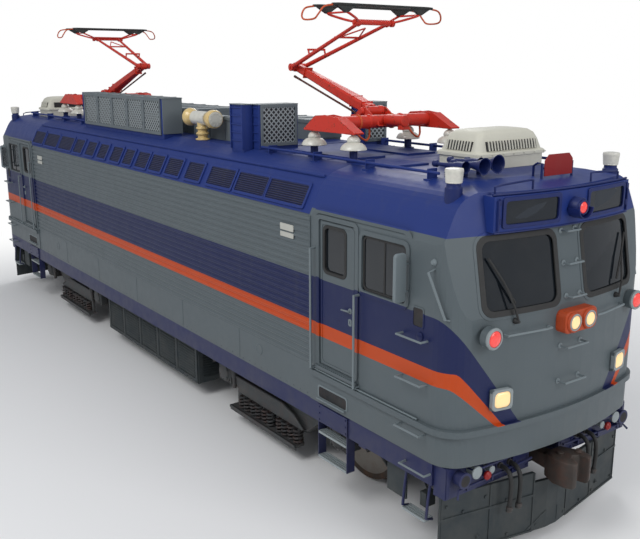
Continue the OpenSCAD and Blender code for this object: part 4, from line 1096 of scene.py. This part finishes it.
def make_arms(end):
    lower = move((PANTO_X, 0, PANTO_Z)) @ Matrix.Rotation(math.pi + ARM_ANGLE, 4, "Y")
    kit = Kit()
    sec = [(.05, .080, .062), (.35, .092, .070), (1.1, .066, .060), (ARM_LEN - .03, .048, .052)]
    kit.loops([[lower @ Vector((x, hy * u, hz * v))
                for u, v in ((-1, -.7), (-.7, -1), (.7, -1), (1, -.7), (1, .7), (.7, 1), (-.7, 1),
                             (-1, .7))] for x, hy, hz in sec])
    kit.lathe([(.066, 0), (.066, .05), (.060, .055), (.060, .225), (.066, .23), (.066, .28)],
              lower @ along((0, -.14, 0), (0, 1, 0)), 28)
    kit.lathe([(.062, 0), (.062, .12)], lower @ along((ARM_LEN, -.06, 0), (ARM_LEN, 1, 0)), 28)
    kit.lathe([(.019, 0), (.019, .29)], lower @ along((ARM_LEN, -.145, 0), (ARM_LEN, 1, 0)), 16)
    for x, half in ((.14, .094), (.36, .094), (1.5, .070)):
        kit.box((x, -half, -.074), (x + .014, half, .074), lower)
    obj = kit.done(f"{end}_lower_arm_beam", "pantograph_red", turned(end), .006, body=f"{end}_lower_arm")
    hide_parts(f"{end}_lower_arm")

    upper = move((KNEE[0], 0, KNEE[1])) @ Matrix.Rotation(-ARM_ANGLE, 4, "Y")
    kit = Kit()
    for s in BOTH:
        kit.lathe([(.052, 0), (.052, .06)], upper @ along((0, s * .07, 0), (0, s, 0)), 28)
        a, b = upper @ Vector((.03, s * .10, 0)), upper @ Vector((ARM_LEN, s * .23, 0))
        kit.lathe([(.031, 0), (.027, .6), (.021, ARM_LEN - .03)], along(a, b), 16)
        kit.lathe([(.030, 0), (.036, .01), (.036, .05), (.030, .06)], along(b + (a - b) * .03, b), 16)
        gusset = [(.03, s * .10, -.012), (.22, s * .116, -.012), (.05, s * .07, -.012)]
        kit.loops([[upper @ Vector(p) for p in gusset],
                   [upper @ (Vector(p) + Vector((0, 0, .024))) for p in gusset]])
        kit.rod(upper @ Vector((.5, s * .134, 0)), upper @ Vector((.5, s * .134, .088)), .013, 10)
        kit.rod(upper @ Vector((1.18, s * .184, 0)), upper @ Vector((1.58, 0, .0)), .010, 8)
    kit.rod(upper @ Vector((.5, -.145, .085)), upper @ Vector((.5, .145, .085)), .014, 12)
    kit.rod(upper @ Vector((1.18, -.19, .020)), upper @ Vector((1.18, .19, .020)), .013, 12)
    kit.lathe([(.019, 0), (.019, .05), (.027, .055), (.027, .585), (.019, .59), (.019, .64)],
              upper @ along((ARM_LEN, -.32, 0), (ARM_LEN, 1, 0)), 20)
    obj = kit.done(f"{end}_upper_arm_tubes", "pantograph_red", turned(end), .002, body=f"{end}_upper_arm")
    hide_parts(f"{end}_upper_arm")

    kit = Kit()
    top = APEX_Z + .206
    for x in (-.19, .19):
        px = PANTO_X + x
        kit.loops([[(px - .026, y, top - .030 + drop), (px + .026, y, top - .030 + drop),
                    (px + .030, y, top - .012 + drop), (px + .020, y, top + drop),
                    (px - .020, y, top + drop), (px - .030, y, top - .012 + drop)]
                   for y, drop in ((-.78, -.004), (-.70, 0), (.70, 0), (.78, -.004))])
        for s in BOTH:
            wedge = [(s * .44, top - .03), (s * .74, top - .03), (s * .60, top - .105),
                     (s * .56, top - .105)]
            kit.plate(wedge, px - .022, px + .022, 0)
    strips = kit.done(f"{end}_collector_strips", "collector_black", turned(end), .003, body=f"{end}_head")
    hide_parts(f"{end}_head")
    kit = Kit()
    for s in BOTH:
        kit.lathe([(.042, 0), (.042, .04)], along((PANTO_X, s * .27, APEX_Z), (PANTO_X, s, APEX_Z)), 24)
        for x in (-.19, .19):
            pts = [(PANTO_X + x * .15, s * .29, APEX_Z + .012), (PANTO_X + x * .6, s * .36, APEX_Z + .035),
                   (PANTO_X + x, s * .52, APEX_Z + .085), (PANTO_X + x, s * .58, APEX_Z + .11)]
            kit.tube(smooth_path(pts), .015)
        kit.rod((PANTO_X - .19, s * .58, APEX_Z + .105), (PANTO_X + .19, s * .58, APEX_Z + .105), .012, 10)
    kit.rod((PANTO_X - .03, -.29, APEX_Z + .03), (PANTO_X - .03, .29, APEX_Z + .03), .012, 10)
    kit.done(f"{end}_head_yokes", "pantograph_red", turned(end), 0, slot="collector_black",
             body=f"{end}_head")
    kit = Kit()
    for s in BOTH:
        hook = [(PANTO_X - .19, s * .76, top - .022), (PANTO_X - .19, s * .90, top - .05),
                (PANTO_X - .17, s * .965, top - .13), (PANTO_X - .10, s * .980, top - .185),
                (PANTO_X + .10, s * .980, top - .185), (PANTO_X + .17, s * .965, top - .13),
                (PANTO_X + .19, s * .90, top - .05), (PANTO_X + .19, s * .76, top - .022)]
        kit.tube(smooth_path(hook), .011)
    kit.done(f"{end}_head_horns", "lead_orange", turned(end), 0, slot="collector_black", body=f"{end}_head")
    # the coupling rod keeps its CAD shape, with a lock nut added near each end
    rod = move((PANTO_X - .2, 0, PANTO_Z - .09)) @ Matrix.Rotation(math.pi + ARM_ANGLE, 4, "Y")
    kit = Kit()
    kit.lathe([(.020, 0), (.020, .05), (.0175, .055), (.0175, .14)], rod @ along((.035, 0, 0), (1, 0, 0)),
              6)
    kit.lathe([(.0175, 0), (.0175, .12), (.020, .125), (.020, .16)], rod @ along((1.48, 0, 0), (2, 0, 0)),
              6)
    kit.done(f"{end}_rod_nuts", "rusty_steel", turned(end), .001, body=f"{end}_coupling_rod")


# ---------------------------------------------------------------- ends below the belt
BEAM_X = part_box("end_beams")[1][0]


def make_beam_fittings():
    dark, pale, red, blue = Kit(), Kit(), Kit(), Kit()
    face = BEAM_X

    def out_at(y, z, r_profile, kit, n=28, x=face):
        kit.lathe(r_profile, facing((x, y, z), FORE), n)
    for s in BOTH:
        out_at(1.290 * s, 1.03, [(.075, 0), (.075, .09), (.085, .095), (.085, .11), (.062, .112)], blue)
        # a near-black disc set inside each big socket: painted shade
        out_at(1.290 * s, 1.03, [(.062, .09), (.060, .1125)], dark)
        out_at(1.130 * s, 1.075, [(.045, 0), (.045, .095), (.066, .100), (.066, .118), (.05, .124)], pale)
        out_at(.985 * s, 1.005, [(.03, 0), (.03, .10)], blue)
        out_at(.985 * s, 1.005, [(.042, .10), (.046, .108), (.046, .13), (.02, .15)], red)
        out_at(.905 * s, 1.035, [(.03, 0), (.03, .085), (.042, .09), (.042, .105), (.03, .11)], pale)
        for y in (.70, .56):
            out_at(y * s, .990, [(.045, 0), (.045, .012), (.032, .016), (.032, .039)], blue)
        blue.tube([(face - .004, .62 * s, 1.095), (face + .085, .62 * s, 1.10), (face + .10, .68 * s, 1.10),
                   (face + .10, 1.10 * s, 1.10), (face + .085, 1.16 * s, 1.10),
                   (face - .004, 1.16 * s, 1.095)], .012)
        blue.box((face - .002, 1.40 * s, .83), (face + .010, 1.446 * s, 1.15))
        # uncoupling lever with its brackets
        blue.tube([(face + .07, .26 * s, .965), (face + .07, 1.34 * s, .925), (face + .11, 1.39 * s, .86)],
                  .013)
        for y in (.50, .86, 1.22):
            blue.box((face - .002, y * s, .90), (face + .088, (y + .02) * s, .955))
    blue.box((face - .002, -.50, .835), (face + .020, -.245, 1.15))
    blue.box((face - .002, .245, .835), (face + .020, .50, 1.15))
    blue.box((face - .002, -.50, 1.065), (face + .030, .50, 1.10))
    blue.bolts([((face + .020, s * y, z), FORE) for s in BOTH for y in (.28, .46)
                for z in (.87, .96, 1.05)], .014, .010)
    blue.done("beam_fittings", "blue_paint", ENDS, .003)
    dark.done("socket_painted_shade", "dark_hollow", ENDS, 0, slot="dark_paint")
    pale.done("socket_lids", "lamp_ring", ENDS, .002, slot="cast_fittings")
    red.done("socket_red_lids", "sign_red", ENDS, .002, slot="cast_fittings")


def make_pilots():
    """Rims, stiffeners, patch plates and bolts on the guards."""
    kit = Kit()
    z0, z1 = .131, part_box("pilots")[1][2]
    for s in BOTH:
        # the guard's outer face runs from a, at the side, to b, near the coupler
        a, b = Vector((BEAM_X - .070, 1.440 * s, 0)), Vector((BEAM_X + .170, .090 * s, 0))
        ahead = (b - a).normalized()
        out = Vector((abs(ahead.y), abs(ahead.x) * s, 0)).normalized()

        def at(t, z, off):
            p = a + (b - a) * t + out * off
            return (p.x, p.y, z)
        for lo, hi in ((z0, z0 + .022), (.548, .575)):
            kit.loops([[at(t, z, o) for o, z in ((-.002, lo), (.012, lo), (.012, hi), (-.002, hi))]
                       for t in (.0, .86)])
        for t in (.005, .44, .855):
            kit.loops([[at(t + o, z0 if k else z1, q)
                        for o, q in ((0, -.002), (.012, -.002), (.012, .010), (0, .010))] for k in (1, 0)])
        kit.loops([[at(t, z, o) for t, z in ((.80, z0 + .03), (1.0, z0 + .03), (1.0, .34))]
                   for o in (-.002, .007)])
        kit.bolts([(at(t, z, 0), tuple(out))
                   for t, z in ((.05, .19), (.40, .19), (.90, .20), (.05, .70), (.40, .70), (.62, .19),
                                (.2, .60), (.6, .60))], .018, .012)
        kit.rod((BEAM_X - .12, s * 1.008, .36), (BEAM_X + .03, s * .98, .26), .022, 10)
    kit.done("pilot_trim", "dark_paint", ENDS, .002)


def make_couplers():
    x1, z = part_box("front_coupler")[1][0], .880
    for end in ("front", "rear"):
        kit = Kit()
        outline = [(-.395, -.115), (-.235, -.188), (-.10, -.178), (-.012, -.138), (-.004, -.110),
                   (-.012, -.066), (-.105, -.062), (-.148, .02), (-.108, .088), (-.012, .112),
                   (-.004, .125), (-.035, .195), (-.155, .226), (-.235, .186), (-.395, .106)]

        def grown(k, z):
            return [(x1 - .20 + (x + .20) * k, y * k, z) for x, y in outline]
        kit.loops([grown(.90, z - .149), grown(.985, z - .135), grown(1.0, z - .10), grown(1.0, z + .10),
                   grown(.985, z + .135), grown(.88, z + .149)])
        kit.lathe([(.045, 0), (.045, .012), (.030, .018), (.03, .03)], move((x1 - .17, .15, z + .145)), 18)
        kit.loops([[(x, .072, z + v), (x, .072, z - v), (x, -.072, z - v), (x, -.072, z + v)]
                   for x, v in ((x1 - .94, .068), (x1 - .60, .068), (x1 - .42, .085), (x1 - .37, .11))])
        kit.rod((x1 - .25, -.05, z + .14), (x1 - .25, -.05, z + .17), .035, 12)
        obj = kit.done(f"{end}_coupler_casting", "coupler_iron", turned(end), .008, 50,
                       body=f"{end}_coupler")
        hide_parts(f"{end}_coupler")


def make_steps():
    blue, grate = Kit(), Kit()
    y0, y1 = 1.385, 1.496
    for x0, x1, treads, top, bottom in ((5.18, 5.74, (.490, .800), 1.13, .476),
                                        (6.68, 7.05, (.500,), .93, .486)):
        wide = .012 if len(treads) > 1 else .014
        for x in (x0, x1 - wide):
            if len(treads) > 1:
                blue.box((x, y0, bottom), (x + wide, y1, top))
            else:
                blue.tube([(x + .01, 1.44, top), (x + .01, 1.47, .72), (x + .01, 1.488, .53),
                           (x + .01, 1.40, .50)], .016)
        if len(treads) > 1:
            blue.box((x0, y1 - .006, .93), (x1, y1 + .004, 1.15))
            blue.bolts([((x, y1 + .003, z), (0, 1, 0)) for x in (x0 + .03, x1 - .03)
                        for z in (.96, 1.04, 1.12)], .012, .008)
        for z in treads:
            grate.ring(rounded(x0 + wide, x1 - wide, y0 - .005, y1 + .006, .006, 2),
                       rounded(x0 + wide + .014, x1 - wide - .014, y0 + .010, y1 - .010, .004, 2),
                       lambda u, v, h, z=z: Vector((u, v, z + h)), -.012, .014)
            n = int((x1 - x0) / .026)
            for i in range(1, n):
                x = x0 + (x1 - x0) * i / n
                grate.box((x - .004, y0, z - .010), (x + .004, y1, z + .010))
            for y in (y0 + .035, y0 + .070):
                grate.box((x0 + .02, y - .004, z - .006), (x1 - .02, y + .004, z + .012))
    obj = blue.done("step_hangers", "blue_paint", CORNERS, .002)
    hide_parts("steps")
    grate.done("step_gratings", "lamp_ring", CORNERS, 0, slot="blue_paint")


# ---------------------------------------------------------------- underfloor
def make_tank_skin():
    lo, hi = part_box("main_transformer")
    kit, fins = Kit(), Kit()
    for s in BOTH:
        y = s * hi[1]

        def face(u, v, h, y=y, s=s):
            return Vector((u, y + s * h, v))
        kit.ring(rounded(lo[0], hi[0], .24, .90, .02, 3),
                 rounded(lo[0] + .06, hi[0] - .06, .30, .84, .03, 3), face, -.002, .018)
        for i in range(1, 5):
            x = lo[0] + (hi[0] - lo[0]) * i / 5
            kit.loops([[face(x - .03, z, h), face(x + .03, z, h), face(x + .02, z, h + .02),
                        face(x - .02, z, h + .02)] for z, h in ((.26, 0), (.88, 0))])
        for k in range(5):
            a = lo[0] + .09 + k * (hi[0] - lo[0]) / 5
            for i in range(11):
                z = .335 + i * .045
                fins.loops([[face(x, z, .0), face(x, z + .022, .0), face(x, z + .004, .022),
                             face(x, z, .022)] for x in (a, a + .52)])
        kit.bolts([(face(lo[0] + .03 + .142 * i, z, .018), (0, s, 0)) for i in range(25)
                   for z in (.27, .87)], .012, .008)
    for s in BOTH:
        x = s * hi[0]

        def end(u, v, h, x=x, s=s):
            return Vector((x + s * h, u, v))
        kit.ring(rounded(-1.29, 1.29, .24, .90, .02, 3), rounded(-1.22, 1.22, .32, .82, .02, 3), end, -.002,
                 .016)
        for i in range(12):
            z = .33 + i * .041
            fins.loops([[end(y, z, .0), end(y, z + .02, .0), end(y, z + .004, .02), end(y, z, .02)]
                        for y in (-1.21, 1.21)])
    kit.done("tank_ribs", "dark_paint", ONE, .003)
    fins.done("tank_fins", "dark_paint", ONE, 0)


def coil(kit, x, y, z0, z1, r, wire, turns):
    points = []
    for i in range(int(turns * 14) + 1):
        t = i / (turns * 14)
        a = 2 * math.pi * turns * t
        rise = min(max(t * turns - .7, 0), turns - 1.4) / (turns - 1.4)
        points.append((x + r * math.cos(a), y + r * math.sin(a), z0 + wire + (z1 - z0 - 2 * wire) * rise))
    kit.tube(points, wire, 7)


def make_bogie(end):
    body = f"{end}_bogie"
    cx = BOGIE_X
    m = turned(end)
    springs = Kit()
    for s in BOTH:
        for x in (-.43, 0, .43):
            coil(springs, cx + x, 1.09 * s, .762, 1.092, .068, .017, 5.5)
            springs.lathe([(.036, .762), (.036, 1.090)], move((cx + x, 1.09 * s, 0)), 12)
            springs.lathe([(.087, .7605), (.087, .772), (.05, .776)], move((cx + x, 1.09 * s, 0)), 20)
        for x in (-.86, -.56, -.26, .10, .38):
            for dx in (0, .13):
                coil(springs, cx + x + dx, 1.235 * s, .262, .452, .055, .016, 4.5)
    obj = springs.done(f"{end}_coil_springs", "spring_steel", m, 0, body=body)
    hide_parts(f"{end}_bogie_springs")
    trim = Kit()
    for s in BOTH:
        y = 1.18 * s

        def face(u, v, h, y=y, s=s):
            return Vector((cx + u, y + s * h, v))
        # deep side plate with a rolled top edge, standing on the low spring plank
        plate = [(-1.05, .674), (.16, .674), (.42, .60), (.62, .46), (-.92, .46), (-1.05, .56)]
        trim.sheet(plate, face, -.004, .062)
        trim.tube([face(-1.05, .674, .055), face(.16, .674, .055), face(.42, .60, .055),
                   face(.62, .47, .055)], .020)
        trim.box((cx - 1.09, y, .225), (cx + .41 + .16, y + .16 * s, .262))
        trim.box((cx - 1.09, y + .128 * s, .190), (cx + .57, y + .146 * s, .262))
        for u in (-1.0, -.38, .52):
            trim.box((cx + u - .035, y, .24), (cx + u + .035, y + .045 * s, .50))
        for u in (-AXLE_X, AXLE_X):
            hub = along(face(u, .65, .04), face(u, .65, 1.0))
            trim.lathe([(.150, -.01), (.150, .02), (.128, .034), (.128, .050), (.07, .058), (.03, .06)],
                       hub, 32)
            trim.bolts([(face(u + .108 * math.cos(a), .65 + .108 * math.sin(a), .086), (0, s, 0))
                        for a in [math.pi * (i + .5) / 3 for i in range(6)]], .014, .012)
            trim.box((cx + u - .17, y - .05 * s, .50), (cx + u - .145, y + .06 * s, .80))
            trim.box((cx + u + .145, y - .05 * s, .50), (cx + u + .17, y + .06 * s, .80))
            # damper between the axle box and the frame
            w = u - .29 * (1 if u > 0 else -1)
            trim.lathe([(.030, 0), (.030, .15), (.042, .155), (.042, .31), (.02, .315), (.02, .34)],
                       along(face(w, .50, .07), face(w, .83, .07)), 16)
            # brake block beside the tread
            bx = cx + u + (.70 if u < 0 else -.70)
            trim.box((bx - .03, .72 * s, .50), (bx + .03, .80 * s, .80))
            trim.tube([(bx, .76 * s, .80), (bx, .84 * s, .88), (bx, 1.0 * s, .86)], .020)
        for u in (-1.80, 1.80):
            trim.tube(smooth_path([face(u, .80, -.12), face(u + .03, .55, -.22),
                                   (cx + u * .985, .80 * s, .33), (cx + u, .76 * s, .16)]), .020)
        trim.tube(smooth_path([face(-1.5, .905, -.02), face(-.9, .83, .02), face(0, .80, .03),
                               face(.9, .83, .02), face(1.5, .905, -.02)]), .014)
    trim.done(f"{end}_bogie_trim", "bogie_paint", m, .004, body=body)
    gear = Kit()
    for s in BOTH:
        for k in range(4):
            y = -.40 + .26 * k
            gear.lathe([(.271, -.012), (.279, -.010), (.279, .010), (.271, .012)],
                       along((cx + s * .895, y, .66), (cx + s * .895, y + 1, .66)), 40)
        gear.lathe([(.20, 0), (.20, .02), (.16, .03), (.06, .035)],
                   along((cx + s * .895, .479, .66), (cx + s * .895, 1, .66)), 32)
    gear.done(f"{end}_motor_trim", "motor_iron", m, .003, body=body)


def make_wheels():
    for i, x in enumerate([s * (BOGIE_X + t * AXLE_X) for s, t in ((1, 1), (1, -1), (-1, -1), (-1, 1))], 1):
        kit = Kit()
        for s in BOTH:
            # bright tread band, a hair over the CAD wheel's own
            kit.lathe([(.6222, .712), (.6226, .714), (.6226, .806), (.6215, .812)],
                      facing((x, 0, AXLE_Z), (0, s, 0)), 96)
            kit.lathe([(.20, .772), (.20, .800), (.15, .815), (.11, .82)],
                      facing((x, 0, AXLE_Z), (0, s, 0)), 40)
            kit.lathe([(.552, .776), (.552, .800), (.546, .8105), (.53, .8118), (.53, .79)],
                      facing((x, 0, AXLE_Z), (0, s, 0)), 72)
        kit.done(f"wheel_{i}_treads", "wheel_bright", ONE, 0, slot="wheel_steel", body=f"wheelset_{i}")


def make_under_gear():
    kit = Kit()
    for s in BOTH:
        # air pipes under the sill
        y = 1.40 * s
        kit.tube([(-5.9, y, .90), (-2.0, y, .89), (5.9, y, .90)], .022)
        kit.tube([(-5.9, y - .07 * s, .885), (5.9, y - .07 * s, .885)], .014)
    kit.done("sill_pipes", "dark_paint", ONE, 0)
    # beyond the bogie: a skirt plate, a box, an air tank with its bracket, and a pipe
    kit = Kit()
    kit.box((6.31, 1.36, .52), (6.62, 1.385, .93))
    kit.box((6.81, 1.22, .54), (6.90, 1.36, .70))
    kit.lathe([(.02, 0), (.13, .01), (.14, .03), (.14, .52), (.13, .54), (.02, .55)],
              along((6.15, .35, .78), (6.15, 1, .78)), 28)
    kit.box((6.10, .45, .90), (6.20, .80, .93))
    kit.tube([(6.15, .88, .74), (6.4, 1.0, .70), (6.85, 1.28, .70)], .014)
    kit.done("end_equipment", "dark_paint", CORNERS, .006)


make_insulators()
make_base()
for end_name in ("front", "rear"):
    make_arms(end_name)
    make_bogie(end_name)
for make in (make_beam_fittings, make_pilots, make_couplers, make_steps, make_tank_skin, make_wheels,
             make_under_gear):
    make()


# ---------------------------------------------------------------- floor and light
AREA_LIGHTS = (("key", (6, -14, 16), (0, 0, 2), 9, 1700),         # name, place, aim, size, watts
               ("nose_light", (20, 2, 9), (5, 0, 2), 7, 800),
               ("back_light", (-12, 12, 14), (0, 0, 2), 10, 1100))
FADE_FROM, FADE_TO = 6.5, 13.0          # metres from the middle where the floor turns white


def make_stage():
    bpy.ops.mesh.primitive_plane_add(size=160, location=(0, 0, 0))
    floor = bpy.context.object
    floor.name = "floor"
    s = Shader("floor")
    tone = s.noise(0.6, 2)
    col = s.mix(s.times(tone, 0.03), srgb(238, 238, 238), srgb(230, 230, 230))
    s.finish(col, 0.75)
    # far from the object the floor fades to the white of the background
    x, y, _ = s.xyz()
    away = s.math("SQRT", s.math("ADD", s.times(x, x), s.times(y, y)))
    far = s.ramp(away, FADE_FROM, FADE_TO)
    seen = s.add("ShaderNodeLightPath").outputs["Is Camera Ray"]
    white = s.add("ShaderNodeEmission")
    out = s.tree.nodes["Material Output"]
    both = s.add("ShaderNodeMixShader")
    s.put(both.inputs[0], s.times(far, seen))
    s.tree.links.new(s.bsdf.outputs[0], both.inputs[1])
    s.tree.links.new(white.outputs[0], both.inputs[2])
    s.tree.links.new(both.outputs[0], out.inputs["Surface"])
    floor.data.materials.append(s.mat)

    world = bpy.data.worlds.new("world")
    bpy.context.scene.world = world
    world.use_nodes = True
    tree = world.node_tree
    sky = tree.nodes["Background"]
    sky.inputs["Color"].default_value = (0.92, 0.95, 1.0, 1)
    sky.inputs["Strength"].default_value = 0.5
    white = tree.nodes.new("ShaderNodeBackground")
    white.inputs["Color"].default_value = (1, 1, 1, 1)
    white.inputs["Strength"].default_value = 1.0
    path = tree.nodes.new("ShaderNodeLightPath")
    mix = tree.nodes.new("ShaderNodeMixShader")
    tree.links.new(path.outputs["Is Camera Ray"], mix.inputs[0])
    tree.links.new(sky.outputs[0], mix.inputs[1])
    tree.links.new(white.outputs[0], mix.inputs[2])
    tree.links.new(mix.outputs[0], tree.nodes["World Output"].inputs[0])

    for name, at, target, size, power in AREA_LIGHTS:
        data = bpy.data.lights.new(name, "AREA")
        data.shape = "SQUARE"
        data.size = size
        data.energy = power
        obj = bpy.data.objects.new(name, data)
        obj.location = at
        aim = Vector(target) - Vector(at)
        obj.rotation_euler = aim.to_track_quat("-Z", "Y").to_euler()
        bpy.context.scene.collection.objects.link(obj)
    bpy.context.scene.view_settings.view_transform = "Standard"


make_stage()
